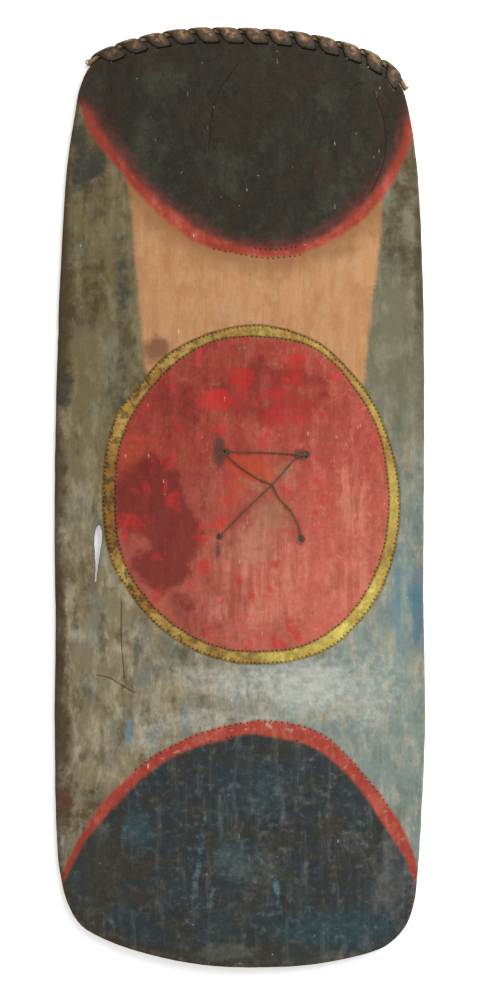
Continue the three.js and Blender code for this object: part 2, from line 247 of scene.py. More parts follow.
def colour(name, description, red, green, blue):
    return bpy.props.FloatVectorProperty(
        name=name, description=description, default=linear(red, green, blue),
        size=4, min=0, max=1, subtype="COLOR",
    )


def group(kind, name, description):
    return bpy.props.PointerProperty(type=kind, name=name, description=description)


class SHIELD_PG_board(bpy.types.PropertyGroup):
    height: length("Height", "Length of the wood from head to foot", 1.539)
    width: length("Width", "Width of the wood at its widest", 0.615)
    middle_thickness: length("Thickness, middle", "Thickness along the middle line", 0.018)
    side_thickness: length("Thickness, sides", "Thickness at the two long sides", 0.013)
    back_hollow: length("Hollow", "Depth of the hollow of the back", 0.012)
    bearing_width: length("Bearing width", "Width of the flat strips that the back rests on", 0.028)
    arris: length("Arris", "Mean radius of the worn arris of the face", 0.004)
    edge_wear: length("Edge wear", "Deepest dent in the outline", 0.0012)
    adze_depth: length("Adze depth", "Depth of the long hollows left by the adze", 0.0007)
    crust_depth: length("Crust depth", "Depth of the lumps in the crust of the head", 0.0019)
    crack_depth: length("Crack depth", "Depth of the cracks", 0.0014)
    crack_width: length("Crack width", "Width of the cracks", 0.0028)
    dot_pitch: length("Dot pitch", "Distance between the punched dots round the disc", 0.0071)
    dot_radius: length("Dot radius", "Radius of a punched dot", 0.0017)
    dot_depth: length("Dot depth", "Depth of a punched dot", 0.0013)
    face_step: length("Face step", "Distance between the points of the face", 0.0051)
    crust_step: length("Crust step", "Distance between the points of the head's crust", 0.0033)
    back_step: length("Back step", "Distance between the points of the back", 0.0092)


class SHIELD_PG_rim(bpy.types.PropertyGroup):
    clearance: length("Clearance", "Air between what touches", 0.0004)
    bundle_height: length("Bundle height", "How far the cane stands out from the rim", 0.008)
    bundle_width: length("Bundle width", "Width of the cane bundle across the board's edge", 0.012)
    cane_diameter: length("Cane diameter", "Thickness of one cane of the bundle", 0.0037)
    stitch_pitch: length("Stitch pitch", "Distance between the slots of the strip", 0.0405)
    stitch_depth: length("Stitch depth", "Distance of the slots from the rim", 0.014)
    slot_length: length("Slot length", "Length of a slot along the rim", 0.026)
    slot_width: length("Slot width", "Width of a slot", 0.005)
    stitch_room: length("Stitch room", "Air beside the strip in its slot", 0.0012)
    strip_width: length("Strip width", "Width of the whipping strip", 0.0345)
    strip_thickness: length("Strip thickness", "Thickness of the whipping strip", 0.0015)
    strip_crown: length("Strip crown", "Rise of the strip along its middle", 0.0014)
    curl_radius: length("Curl radius", "Radius of the curled cane at the left end", 0.0046)
    curl_thickness: length("Curl thickness", "Thickness of the curled cane", 0.0036)
    stub_length: length("Stub length", "Length of the cut stub at the right end", 0.01)
    stub_diameter: length("Stub diameter", "Diameter of the cut stub at its foot", 0.006)


class SHIELD_PG_cord(bpy.types.PropertyGroup):
    diameter: length("Diameter", "Thickness of the twine", 0.0026)
    lay: length("Lay", "Length of one full twist of the two plies", 0.0085)
    knot_radius: length("Knot radius", "Radius of the two end knots", 0.0034)
    mend_radius: length("Mend radius", "Radius of the small knot in the slack strand", 0.0023)
    strand_air: length("Strand air", "Air between two strands in one hole", 0.001)
    hole_room: length("Hole room", "Air round the strands in a hole", 0.0019)


class SHIELD_PG_paint(bpy.types.PropertyGroup):
    upper_left: colour("Ground, upper left", "Dark khaki of the upper left side", 112, 99, 70)
    upper_right: colour("Ground, upper right", "Grey khaki of the upper right side", 110, 107, 86)
    lower_left: colour("Ground, lower left", "Dusty khaki of the lower left", 132, 119, 93)
    lower_right: colour("Ground, lower right", "Grey green of the lower right", 127, 141, 134)
    slate: colour("Slate", "Blue-grey tint of the ground", 108, 122, 118)
    dust: colour("Dust", "Pale beige wear", 184, 172, 146)
    moss: colour("Moss", "Green-brown tint of the ground", 92, 90, 62)
    umber: colour("Umber", "Brown dirt along the edges", 70, 55, 34)
    soot: colour("Soot", "Blue-black smudges", 54, 58, 52)
    sea: colour("Sea blue", "Blue streaks and washes", 94, 130, 142)
    deep: colour("Deep blue", "Blue of the lower right edge", 50, 88, 112)
    chalk: colour("Chalk", "Pale grey wash below the disc", 202, 202, 190)
    tan: colour("Tan", "Bare tan field below the head", 191, 142, 99)
    tan_shade: colour("Tan, shaded", "Darker streaks of the tan field", 166, 116, 76)
    # Tan, glazed: a brown glaze and painted shadow, darker along the head's band
    tan_glaze_and_shadow: colour("Tan, glazed", "Brown glaze of the tan field along the head's band", 140, 98, 62)
    head: colour("Head", "Charcoal of the head", 48, 46, 37)
    head_light: colour("Head, worn", "Grey of the worn lumps of the head", 64, 64, 54)
    head_brown: colour("Head, brown", "Brown tint in the charcoal", 56, 46, 36)
    band: colour("Band", "Red of the two bands", 166, 66, 53)
    band_light: colour("Band, light", "Light red of the bands", 196, 104, 84)
    band_shade: colour("Band, shaded", "Darker red of the bands", 150, 60, 46)
    haze: colour("Haze", "Maroon haze inside the head's band", 104, 56, 50)
    foot: colour("Foot", "Blue-black of the foot", 52, 57, 60)
    foot_light: colour("Foot, worn", "Grey-blue wear of the foot", 100, 101, 97)
    foot_brown: colour("Foot, brown", "Brown-olive of the foot's left and lower edge", 62, 58, 46)
    teal: colour("Teal", "Green-blue haze of the foot", 50, 78, 84)
    ring: colour("Ring", "Ochre of the ring", 172, 140, 74)
    ring_bright: colour("Ring, bright", "Yellow of the ring's lower right", 222, 202, 104)
    ring_rust: colour("Ring, rusty", "Rusty ochre of the ring's left", 142, 94, 42)
    disc_left: colour("Disc, left", "Dull red of the disc's left", 146, 58, 48)
    disc_right: colour("Disc, right", "Light red of the disc's right", 190, 86, 73)
    brick: colour("Brick", "Brown-red tint of the disc", 150, 82, 60)
    maroon: colour("Maroon", "Dark maroon patches", 106, 38, 34)
    scarlet: colour("Scarlet", "Bright scarlet patches", 190, 48, 46)
    ember: colour("Ember", "Orange-red under the lacing", 176, 74, 46)
    rose: colour("Rose", "Pale rose patches and streaks", 204, 128, 108)
    worn: colour("Worn wood", "Wood where the paint has gone", 146, 122, 92)
    wood: colour("Bare wood", "Old wood of the sides and the back", 66, 57, 43)
    wood_dark: colour("Bare wood, dark", "Dark grain of the bare wood", 42, 36, 28)
    # Pit: dirt and painted shade, dark in the cracks, the head's crackle and the punched dots
    pit: colour("Pit", "Dirt in cracks and punched dots", 36, 30, 25)
    fleck: colour("Fleck", "Pale flecks and drips", 212, 208, 194)


class SHIELD_PG_fibres(bpy.types.PropertyGroup):
    cane: colour("Cane", "Straw of the cane bundle", 176, 144, 94)
    cane_dark: colour("Cane, dark", "Aged brown of the cane bundle", 88, 64, 40)
    moss: colour("Moss", "Green tint of the whipping's outer side", 116, 118, 66)
    strip: colour("Strip", "Brown of the whipping strip", 80, 56, 38)
    # Worn strip: wear and a painted highlight along the crown of the strip's upward faces
    strip_wear_and_highlight: colour("Strip, worn", "Tan wear along the strip's crown", 168, 128, 88)
    # Dark strip: dark fibres, soot and head paint, and painted shade along the strip's edges
    strip_dark_and_shade: colour("Strip, dark", "Dark edges of the strip", 46, 39, 30)
    cord: colour("Cord", "Dark brown of the twine", 96, 76, 55)
    cord_light: colour("Cord, worn", "Worn brown of the twine", 152, 130, 102)


class SHIELD_PG_stage(bpy.types.PropertyGroup):
    camera_height: length("Camera height", "Height of the camera above the painted face", 4.5)
    floor_size: length("Floor size", "Side of the square floor", 14.0)
    floor: colour("Floor", "Near white of the floor", 254, 253, 253)
    floor_glow: number("Floor glow", "Light that the floor gives", 0.4)
    light_size: length("Light size", "Side of the soft light", 3.0)
    light_power: number("Light power", "Power of the soft light", 122.0, "POWER")
    sky: number("Sky", "Strength of the even light from all round", 0.55)


class SHIELD_PG_settings(bpy.types.PropertyGroup):
    board: group(SHIELD_PG_board, "Board", "Sizes of the board")
    rim: group(SHIELD_PG_rim, "Rim", "Sizes of the whipping")
    cord: group(SHIELD_PG_cord, "Cord", "Sizes of the cord")
    paint: group(SHIELD_PG_paint, "Paint", "Colours of the board")
    fibres: group(SHIELD_PG_fibres, "Fibres", "Colours of cane and cord")
    stage: group(SHIELD_PG_stage, "Stage", "Floor, light and camera")


# Maths on arrays of points

def unit(vectors):
    return vectors / np.linalg.norm(vectors, axis=-1, keepdims=True)


def left_of(vectors):
    """Flat vectors turned a quarter to the left."""
    return np.stack([-vectors[..., 1], vectors[..., 0]], axis=-1)


def full_turn(count):
    """Angles of points spread evenly round a circle."""
    return 2 * math.pi * np.arange(count) / count


def run_of(curve):
    """Distance along a curve to each of its points."""
    return np.concatenate([[0], np.cumsum(np.linalg.norm(np.diff(curve, axis=0), axis=1))])


def way_round(loop):
    """Direction of a closed loop at each of its points."""
    return unit(np.roll(loop, -1, axis=0) - np.roll(loop, 1, axis=0))


def eased(values, low, high):
    """0 below low, 1 above high, and 3t^2 - 2t^3 of the share t of the way between them."""
    share = np.clip((values - low) / (high - low), 0, 1)
    return share * share * (3 - 2 * share)


def photo_place(pixels):
    """Places on the board of pixels of the photograph."""
    offset = np.asarray(pixels, float) - PHOTO_ORIGIN
    return offset * (PHOTO_SCALE, -PHOTO_SCALE)


def spline(points, steps, closed=False):
    """Centripetal Catmull-Rom curve through points, with as many steps from each to the next.

    The slopes at the two middle ones of four points come from their chords, each to the power of a
    half, and a cubic joins the two.
    """
    points = np.asarray(points, float)
    if closed:
        padded = np.vstack([points[-1:], points, points[:2]])
    else:
        padded = np.vstack([2 * points[:1] - points[1:2], points, 2 * points[-1:] - points[-2:-1]])
    before, start, end, after = padded[:-3], padded[1:-2], padded[2:-1], padded[3:]
    chords = np.sqrt(np.linalg.norm(np.diff(padded, axis=0), axis=1))[:, None] + 1e-9
    lead, span, tail = chords[:-2], chords[1:-1], chords[2:]
    leaving = ((start - before) / lead - (end - before) / (lead + span) + (end - start) / span) * span
    arriving = ((end - start) / span - (after - start) / (span + tail) + (after - end) / tail) * span
    share = (np.arange(steps) / steps)[None, :, None]
    start, end, leaving, arriving = (part[:, None, :] for part in (start, end, leaving, arriving))
    curve = (
        (2 * share ** 3 - 3 * share ** 2 + 1) * start + (share ** 3 - 2 * share ** 2 + share) * leaving
        + (3 * share ** 2 - 2 * share ** 3) * end + (share ** 3 - share ** 2) * arriving
    ).reshape(-1, points.shape[1])
    return curve if closed else np.vstack([curve, points[-1:]])


def spaced(curve, pitch, closed=False):
    """Points at an even distance of about pitch along a curve."""
    if closed:
        curve = np.vstack([curve, curve[:1]])
    run = run_of(curve)
    count = max(2, round(run[-1] / pitch))
    stops = np.linspace(0, run[-1], count + 1)
    if closed:
        stops = stops[:-1]
    return np.stack([np.interp(stops, run, column) for column in curve.T], axis=1)


def noise(places, cell, seed):
    """Smooth bumps from -1 to 1: random heights at the corners of cells, blended by 3t^2 - 2t^3."""
    size = 256
    table = np.random.default_rng(seed).uniform(-1, 1, (size, size))
    scaled = places[:, :2] / cell
    corner = np.floor(scaled).astype(int)
    share = scaled - corner
    share = share * share * (3 - 2 * share)
    column, row = corner.T

    def height(right, up):
        return table[(column + right) % size, (row + up) % size]

    low = height(0, 0) * (1 - share[:, 0]) + height(1, 0) * share[:, 0]
    high = height(0, 1) * (1 - share[:, 0]) + height(1, 1) * share[:, 0]
    return low * (1 - share[:, 1]) + high * share[:, 1]


def rough(places, cell, seed, layers=3):
    """Bumps upon bumps from about -1 to 1: each layer half as wide and half as high as the last."""
    cell = np.asarray(cell, float)
    shares = [0.5 ** layer for layer in range(layers)]
    total = sum(share * noise(places, cell * share, seed + layer) for layer, share in enumerate(shares))
    return total / sum(shares)


def line_distance(places, line, closed=False):
    """Distance of each place to the nearest point of a line of straight bits, and whether it is inside.

    The nearest point of each bit is its start plus the share, from 0 to 1, of the bit that the place
    lies along it. A place is inside a closed line where a ray to its right crosses it an odd number
    of times.
    """
    line = line.astype(np.float32)
    start = line if closed else line[:-1]
    run = (np.roll(line, -1, axis=0) - line) if closed else np.diff(line, axis=0)
    (start_x, start_y), (run_x, run_y) = start.T, run.T
    size = np.maximum(run_x ** 2 + run_y ** 2, TINY)
    slope = run_x / np.where(run_y == 0, TINY, run_y)
    nearest = np.empty(len(places), np.float32)
    inside = np.zeros(len(places), bool)
    for first in range(0, len(places), PLACES_AT_ONCE):
        part = slice(first, first + PLACES_AT_ONCE)
        x, y = places[part, :2].astype(np.float32).T[..., None]
        x = x - start_x
        y = y - start_y
        share = np.clip((x * run_x + y * run_y) / size, 0, 1)
        gap = (x - share * run_x) ** 2 + (y - share * run_y) ** 2
        nearest[part] = np.sqrt(gap.min(axis=1))
        if closed:
            crosses = ((y < 0) != (y < run_y)) & (x < y * slope)
            inside[part] = crosses.sum(axis=1) % 2 == 1
    return nearest, inside


def depth_inside(places, loop):
    """Distance to a closed loop, above 0 inside it and below 0 outside."""
    distance, inside = line_distance(places, loop, closed=True)
    return np.where(inside, distance, -distance)


def spot_distance(places, spots):
    """Distance of each place to the nearest of many spots."""
    nearest = np.full(len(places), np.inf, np.float32)
    x, y = places[:, :2].astype(np.float32).T[..., None]
    for first in range(0, len(spots), SPOTS_AT_ONCE):
        spot_x, spot_y = spots[first:first + SPOTS_AT_ONCE].astype(np.float32).T
        gap = (x - spot_x) ** 2 + (y - spot_y) ** 2
        nearest = np.minimum(nearest, gap.min(axis=1))
    return np.sqrt(nearest)


def soft_oval(places, right, down, half_width, half_height, weight, degrees=0):
    """Field of a soft oval: its weight well inside, half of it on the rim, and 0 from 1.5 times its size."""
    offset = places[:, :2] - photo_place((right, down))
    turn = math.radians(degrees)
    across = offset @ (math.cos(turn), math.sin(turn)) / (half_width * PHOTO_SCALE)
    along = offset @ (-math.sin(turn), math.cos(turn)) / (half_height * PHOTO_SCALE)
    return weight * np.clip(1.5 - np.hypot(across, along), 0, 1)


# Surfaces

def closed_faces(rows, columns):
    """Quads between rings of points, and a fan to the point after them that closes each end."""
    row, column = np.meshgrid(np.arange(rows - 1), np.arange(columns), indexing="ij")
    here = row * columns + column
    beside = row * columns + (column + 1) % columns
    quads = np.stack([here, beside, beside + columns, here + columns], axis=-1).reshape(-1, 4)
    side = np.arange(columns)
    following = (side + 1) % columns
    last = (rows - 1) * columns
    start = np.stack([np.full(columns, rows * columns), following, side], axis=1)
    end = np.stack([np.full(columns, rows * columns + 1), last + side, last + following], axis=1)
    return [quads, start, end]


def capped(values, shape):
    """Numbers for the points of rings, with a 0 for the point that closes each end."""
    return np.concatenate([np.broadcast_to(values, shape).ravel(), [0, 0]])


def square_directions(path):
    """Two directions square to a path at each of its points, carried along it without twist.

    The first pair is square to one fixed guide. The turn that it gains at each step, against the pair
    before it laid flat on the next plane, is added up and taken back.
    """
    tangent = unit(np.gradient(path, axis=0))
    guide = unit(np.array((0.45, -0.6, 0.66)))
    first = unit(np.cross(tangent, guide))
    second = np.cross(tangent, first)
    flat = first[:-1] - (first[:-1] * tangent[1:]).sum(axis=1, keepdims=True) * tangent[1:]
    aside = np.cross(tangent[1:], flat)
    gained = np.arctan2((first[1:] * aside).sum(axis=1), (first[1:] * flat).sum(axis=1))
    back = -np.concatenate([[0], np.cumsum(gained)])[:, None]
    return np.cos(back) * first + np.sin(back) * second, np.cos(back) * second - np.sin(back) * first


def tube(path, radius):
    """A closed tube: rings at radius[point, side] round a path, and a point to close each end."""
    count, sides = radius.shape
    across, up = square_directions(path)
    turn = full_turn(sides)
    spokes = np.cos(turn)[:, None] * across[:, None, :] + np.sin(turn)[:, None] * up[:, None, :]
    rings = path[:, None, :] + radius[..., None] * spokes
    return np.vstack([rings.reshape(-1, 3), path[:1], path[-1:]]), closed_faces(count, sides)


class Heap:
    """The surfaces of one piece, with the numbers that its finish reads at each point."""

    def __init__(self):
        self.points = []
        self.faces = []
        self.marks = {}
        self.count = 0

    def add(self, points, faces, **marks):
        """Takes in points and their faces. A mark that they don't have is 0."""
        for name in marks:
            self.marks.setdefault(name, [np.zeros(len(part)) for part in self.points])
        for name, parts in self.marks.items():
            parts.append(np.broadcast_to(np.asarray(marks.get(name, 0), float), len(points)))
        self.points.append(points)
        self.faces += [part + self.count for part in faces]
        self.count += len(points)

    def rod(self, path, radius, sides, **marks):
        """A round rod along a path, closed at its ends, with its own radius at each point."""
        self.add(*tube(path, np.repeat(radius[:, None], sides, axis=1)), **marks)

    def wall(self, first, rings, last, outwards, **marks):
        """Rings between two loops that are there already, which are given by their first points."""
        count = len(rings[0])
        starts = [first] + [self.count + ring * count for ring in range(len(rings))] + [last]
        self.add(np.vstack(rings), [], **marks)
        here = np.arange(count)
        following = (here + 1) % count
        for upper, lower in zip(starts[:-1], starts[1:]):
            quads = [upper + here, lower + here, lower + following, upper + following]
            self.faces.append(np.stack(quads if outwards else quads[:1] + quads[:0:-1], axis=1))

    def piece(self, name, finish, slot, *nodes):
        """The piece itself, with its finish, in place of CAD nodes."""
        mesh = bpy.data.meshes.new(name)
        faces = [face for part in self.faces for face in part.tolist()]
        mesh.from_pydata(np.vstack(self.points).tolist(), [], faces)
        mesh.polygons.foreach_set("use_smooth", np.ones(len(mesh.polygons), bool))
        for mark, parts in self.marks.items():
            layer = mesh.attributes.new(mark, "FLOAT", "POINT")
            layer.data.foreach_set("value", np.concatenate(parts).astype(np.float32))
        mesh.materials.append(finish)
        made = bpy.data.objects.new(name, mesh)
        bpy.context.scene.collection.objects.link(made)
        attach(made, "root")
        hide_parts(*nodes)
        return made


# Finishes

class Wire:
    """One output of a shader node, so that maths on it is written as maths."""

    def __init__(self, finish, socket):
        self.finish = finish
        self.socket = socket

    def sibling(self, output):
        return Wire(self.finish, self.socket.node.outputs[output])

    def maths(self, operation, *values):
        inputs = dict(enumerate(values))
        return self.finish.node("ShaderNodeMath", {"operation": operation}, inputs)

    def __add__(self, other):
        return self.maths("ADD", self, other)

    __radd__ = __add__

    def __sub__(self, other):
        return self.maths("SUBTRACT", self, other)

    def __rsub__(self, other):
        return self.maths("SUBTRACT", other, self)

    def __mul__(self, other):
        return self.maths("MULTIPLY", self, other)

    __rmul__ = __mul__

    def __neg__(self):
        return self.maths("MULTIPLY", self, -1)

    def most(self, other):
        return self.maths("MAXIMUM", self, other)

    def least(self, other):
        return self.maths("MINIMUM", self, other)

    def ridge(self, width):
        """1 where a noise crosses its middle, falling to 0 this far from it."""
        return self.maths("ABSOLUTE", self - 0.5).eased(0.0, width, 1.0, 0.0)

    def eased(self, low, high, start=0.0, end=1.0):
        """start below low, end above high, and a smooth step between them."""
        settings = {"interpolation_type": "SMOOTHSTEP"}
        inputs = {"Value": self, "From Min": low, "From Max": high, "To Min": start, "To Max": end}
        return self.finish.node("ShaderNodeMapRange", settings, inputs)


class Finish:
    """A material in the making, with the colours of a property group by their names."""

    def __init__(self, name, colours, specular):
        self.material = bpy.data.materials.new(name)
        self.material.use_nodes = True
        self.tree = self.material.node_tree
        self.shader = next(node for node in self.tree.nodes if node.type == "BSDF_PRINCIPLED")
        self.shader.inputs["Specular IOR Level"].default_value = specular
        self.tone = {
            part: list(getattr(colours, part)) for part in colours.__annotations__
            if not isinstance(getattr(colours, part), float)
        }
        self.place = self.node("ShaderNodeTexCoord", output="Object")

    def feed(self, socket, value):
        if isinstance(value, Wire):
            self.tree.links.new(value.socket, socket)
        else:
            socket.default_value = value

    def node(self, kind, settings=None, inputs=None, output=0):
        """A new node: its settings first, then the values or links of its sockets; gives one output."""
        made = self.tree.nodes.new(kind)
        for name, value in (settings or {}).items():
            setattr(made, name, value)
        for name, value in (inputs or {}).items():
            self.feed(made.inputs[name], value)
        return Wire(self, made.outputs[output])

    def mark(self, name):
        """A number that the mesh carries at each of its points."""
        return self.node("ShaderNodeAttribute", {"attribute_name": name}, output="Fac")

    def stretched(self, scale, shift=(0, 0, 0)):
        return self.node("ShaderNodeMapping", {}, {"Vector": self.place, "Scale": scale, "Location": shift})

    def noise(self, scale, detail=3.0, roughness=0.5, vector=None):
        inputs = {"Vector": vector or self.place, "Scale": scale, "Detail": detail, "Roughness": roughness}
        return self.node("ShaderNodeTexNoise", {}, inputs, "Fac")

    def specks(self, scale, size, share, vector=None):
        """Mask of small round specks: one in each cell, kept where the cell's random number is high."""
        inputs = {"Vector": vector or self.place, "Scale": scale}
        cells = self.node("ShaderNodeTexVoronoi", {"feature": "F1"}, inputs, "Distance")
        chance = self.node("ShaderNodeSeparateColor", {}, {"Color": cells.sibling("Color")}, "Red")
        return cells.eased(size * 0.5, size, 1.0, 0.0) * chance.eased(1 - share, 1 - share + 0.02)

    def mix(self, first, second, share):
        """So much of the second colour over the first. Either may be given by its name."""
        first, second = (self.tone[part] if isinstance(part, str) else part for part in (first, second))
        return self.node("ShaderNodeMix", {"data_type": "RGBA"}, {0: share, 6: first, 7: second}, 2)

    def coats(self, colour, *coats):
        """A colour with coats over it, each a colour and the share that it covers."""
        for over, share in coats:
            colour = self.mix(colour, over, share)
        return colour

    def shaded(self, colour, amount):
        """A colour made darker or lighter by one number."""
        return self.node("ShaderNodeVectorMath", {"operation": "SCALE"}, {0: colour, 3: amount})

    def done(self, base, roughness, height, depth):
        """Joins the colour, the roughness and a bump of the given depth to the shader."""
        self.feed(self.shader.inputs["Base Color"], base)
        self.feed(self.shader.inputs["Roughness"], roughness)
        bump = self.node("ShaderNodeBump", {}, {"Strength": 1.0, "Distance": depth, "Height": height})
        self.feed(self.shader.inputs["Normal"], bump)
        return self.material


def painted_wood(paint):
    """Paint on old wood: fields by their distances, streaks, blotches, wear, dirt and flecks, with dirt and
    painted shade in its cracks, crackle and punched dots.
    """
    finish = Finish("painted_wood", paint, 0.1)
    mark, mix, coats, noise_of = finish.mark, finish.mix, finish.coats, finish.noise
    across = finish.node("ShaderNodeSeparateXYZ", {}, {"Vector": finish.place}, "X")
    along = across.sibling("Y")

    def drawn(scale, shift):
        return finish.stretched(scale, (shift, 0, 0))

    cloud = noise_of(8, 5, 0.6)
    wobble = noise_of(34, 3) - 0.5
    fray = noise_of(300, 3, 0.6) - 0.5
    blotch = noise_of(24, 7, 0.68)
    mottle = noise_of(75, 6, 0.7)
    grit = noise_of(480, 3, 0.7)
    pale_patch = noise_of(42, 7, 0.7, drawn((1, 0.45, 1), 1.7))
    dark_patch = noise_of(34, 7, 0.7, drawn((1, 0.5, 1), 3.1))
    cool_patch = noise_of(20, 6, 0.66, drawn((1, 0.6, 1), 5.3))
    streak = noise_of(70, 6, 0.66, drawn((1, 0.12, 1), 0.4))
    thread = noise_of(300, 4, 0.65, drawn((1, 0.06, 1), 0.9))
    scuff = noise_of(80, 6, 0.74, drawn((0.45, 1, 1), 2.2))

    pale = pale_patch.eased(0.44, 0.66)
    dark = dark_patch.eased(0.48, 0.66)
    cool = cool_patch.eased(0.48, 0.64)

    def inside(name, soft=1.2, wander=3.0, ragged=4.0):
        """Mask inside a painted line, soft and ragged by some millimetres."""
        distance = mark(name) + wobble * (wander * MM) + fray * (ragged * MM)
        return distance.eased(-soft * MM, soft * MM)

    def patch(name, soft=0.25, ragged=1.0):
        """Mask of an oval that noise of two widths makes ragged."""
        field = mark(name) + (blotch - 0.5) * (1.3 * ragged) + (mottle - 0.5) * ragged
        return field.eased(0.5 - soft, 0.5 + soft) * mark(name).eased(0.0, 0.25)

    # Masks from left to right and from top to bottom, with wandering limits
    level = along + (cloud - 0.5) * 0.3
    right = (across + (cloud - 0.5) * 0.3).eased(-0.2, 0.2)
    low = level.eased(-0.25, 0.25, 1.0, 0.0)
    lower = level.eased(-0.12, 0.12, 1.0, 0.0)
    bright = (across + (cloud - 0.5) * 0.5).eased(-0.1, 0.2) * (0.35 + 0.65 * lower)

    ground = coats(
        mix(mix("upper_left", "upper_right", right), mix("lower_left", "lower_right", right), low),
        ("slate", cool * 0.5 * low.most(0.35)),
        ("dust", pale * (0.2 + 0.4 * low)),
        ("umber", dark * (0.62 - 0.42 * right)),
        ("moss", (blotch * 0.5 + streak * 0.5).eased(0.5, 0.62) * 0.4),
        ("chalk", patch("chalk", 0.5) * mottle.eased(0.25, 0.75, 0.35, 0.7)),
        ("worn", streak.eased(0.56, 0.7) * mottle.eased(0.42, 0.6) * 0.5),
        ("umber", patch("umber", 0.5, 1.6) * 0.85),
        ("sea", patch("sea", 0.4, 1.6) * streak.eased(0.35, 0.6) * 0.75),
        ("deep", patch("deep", 0.45, 1.4) * 0.45),
        ("soot", patch("soot", 0.4, 1.4) * 0.8),
    )

    # Painted shadow, with a brown glaze, on the tan field just below the head's band
    below_band_shadow = (mark("head_outer") + (blotch - 0.5) * 0.05).eased(-0.05, 0.0)
    tan = coats(
        "tan",
        ("tan_shade", thread.eased(0.45, 0.68) * 0.3 + streak.eased(0.46, 0.6) * 0.5),
        ("tan_shade", blotch.eased(0.48, 0.6) * 0.35 + mottle.eased(0.52, 0.62) * 0.3),
        ("dust", pale * 0.16),
        ("tan_shade", dark * 0.55),
        ("tan_glaze_and_shadow", below_band_shadow * 0.75),
    )

    band = coats(
        "band",
        ("band_light", pale.most(mottle.eased(0.5, 0.62) * 0.6) * 0.7),
        ("band_shade", dark_patch.eased(0.44, 0.6) * 0.6 + patch("band_shade", 0.5) * 0.8),
        ("worn", thread.eased(0.58, 0.72) * 0.4),
    )
    head_band = finish.shaded(mix("head_brown", band, mark("band_fade")), 0.9)
    worn_band = 1 - mottle.eased(0.56, 0.66) * 0.6

    crackle = blotch.ridge(0.02).most(noise_of(46, 4, 0.6).ridge(0.012) * 0.7)
    ticks = finish.specks(95, 0.1, 0.2, finish.stretched((1, 0.22, 1)))
    near_band = (mark("head_inner") + (blotch - 0.5) * 0.03).eased(0.0, 0.026, 1.0, 0.0)
    head = coats(
        "head",
        ("head_light", cool_patch.eased(0.44, 0.64) * 0.75 + mottle.eased(0.5, 0.7) * 0.3),
        ("head_brown", (cloud * 0.6 + blotch * 0.4).eased(0.49, 0.58) * 0.7),
        ("head_brown", patch("brown", 0.5) * 0.8),
        # Dirt and painted shade in the grooves of the head's crackle
        ("pit", crackle * 0.22),
        ("fleck", ticks * mottle.eased(0.4, 0.6) * 0.5),
        ("haze", near_band * mottle.eased(0.3, 0.7, 0.4, 1.0) * mark("band_fade")),
    )

    foot = coats(
        "foot",
        ("foot_light", streak.eased(0.5, 0.66) * 0.5),
        ("foot_brown", blotch.eased(0.4, 0.62) * 0.75),
        ("teal", cool * 0.25),
        ("teal", patch("teal", 0.5) * 0.7),
        ("foot_light", scuff.eased(0.54, 0.7) * 0.35 + mottle.eased(0.53, 0.7) * 0.42),
        ("foot_brown", patch("brown", 0.5) * 0.6),
        ("foot_light", patch("ash", 0.45, 1.6) * 0.42),
    )
    hem = (mark("edge") + (mottle - 0.5) * 0.05 + (blotch - 0.5) * 0.05).eased(0.0, 0.012, 1.0, 0.0)
    foot = coats(
        finish.shaded(foot, 0.55 + 0.9 * mottle),
        ("sea", patch("sea", 0.4, 1.2) * (grit * 0.5 + mottle * 0.5).eased(0.44, 0.56) * 0.6),
        ("worn", hem * mottle.eased(0.46, 0.62) * 0.6),
    )

    ring_edge = mark("disc_outer").least(-mark("disc_inner")) + fray * (4 * MM) + wobble * (2 * MM)
    ring = coats(
        "ring",
        ("ring_bright", patch("bright", 0.5).most(pale * 0.4)),
        ("ring_rust", patch("rust", 0.5) * 0.85),
        ("ring_rust", blotch.eased(0.46, 0.58) * 0.5),
        ("umber", mottle.eased(0.46, 0.6) * (0.75 - 0.4 * right)),
        ("umber", ring_edge.eased(0.0, 0.005, 0.75, 0.0)),
    )

    scratches = noise_of(44, 3, 0.6, drawn((1, 0.4, 1), 6.1)).ridge(0.012) * mottle.eased(0.4, 0.6)
    disc = coats(
        mix("disc_left", "disc_right", bright),
        ("rose", pale * (0.1 + 0.25 * right) + lower * 0.26),
        ("maroon", dark * (0.6 - 0.45 * right) + mottle.eased(0.54, 0.66) * (0.4 - 0.25 * right)),
        ("brick", cool * 0.5),
        ("rose", patch("rose", 0.45) * streak.eased(0.42, 0.6) * 0.65),
        ("rose", scratches * (0.15 + 0.4 * right)),
        ("worn", thread.eased(0.6, 0.74) * 0.3 + scuff.eased(0.58, 0.68) * 0.3),
    )
    disc = coats(
        finish.shaded(disc, 0.72 + 0.36 * mottle + 0.2 * dark_patch),
        ("maroon", patch("maroon", 0.16, 0.7) * 0.75),
        ("scarlet", patch("scarlet", 0.35, 1.8) * 0.7),
        ("scarlet", (blotch * 0.5 + pale_patch * 0.5).eased(0.53, 0.62) * 0.7),
        ("ember", patch("ember", 0.4, 1.4) * 0.7),
        ("worn", patch("worn", 0.4, 1.6) * 0.45),
    )

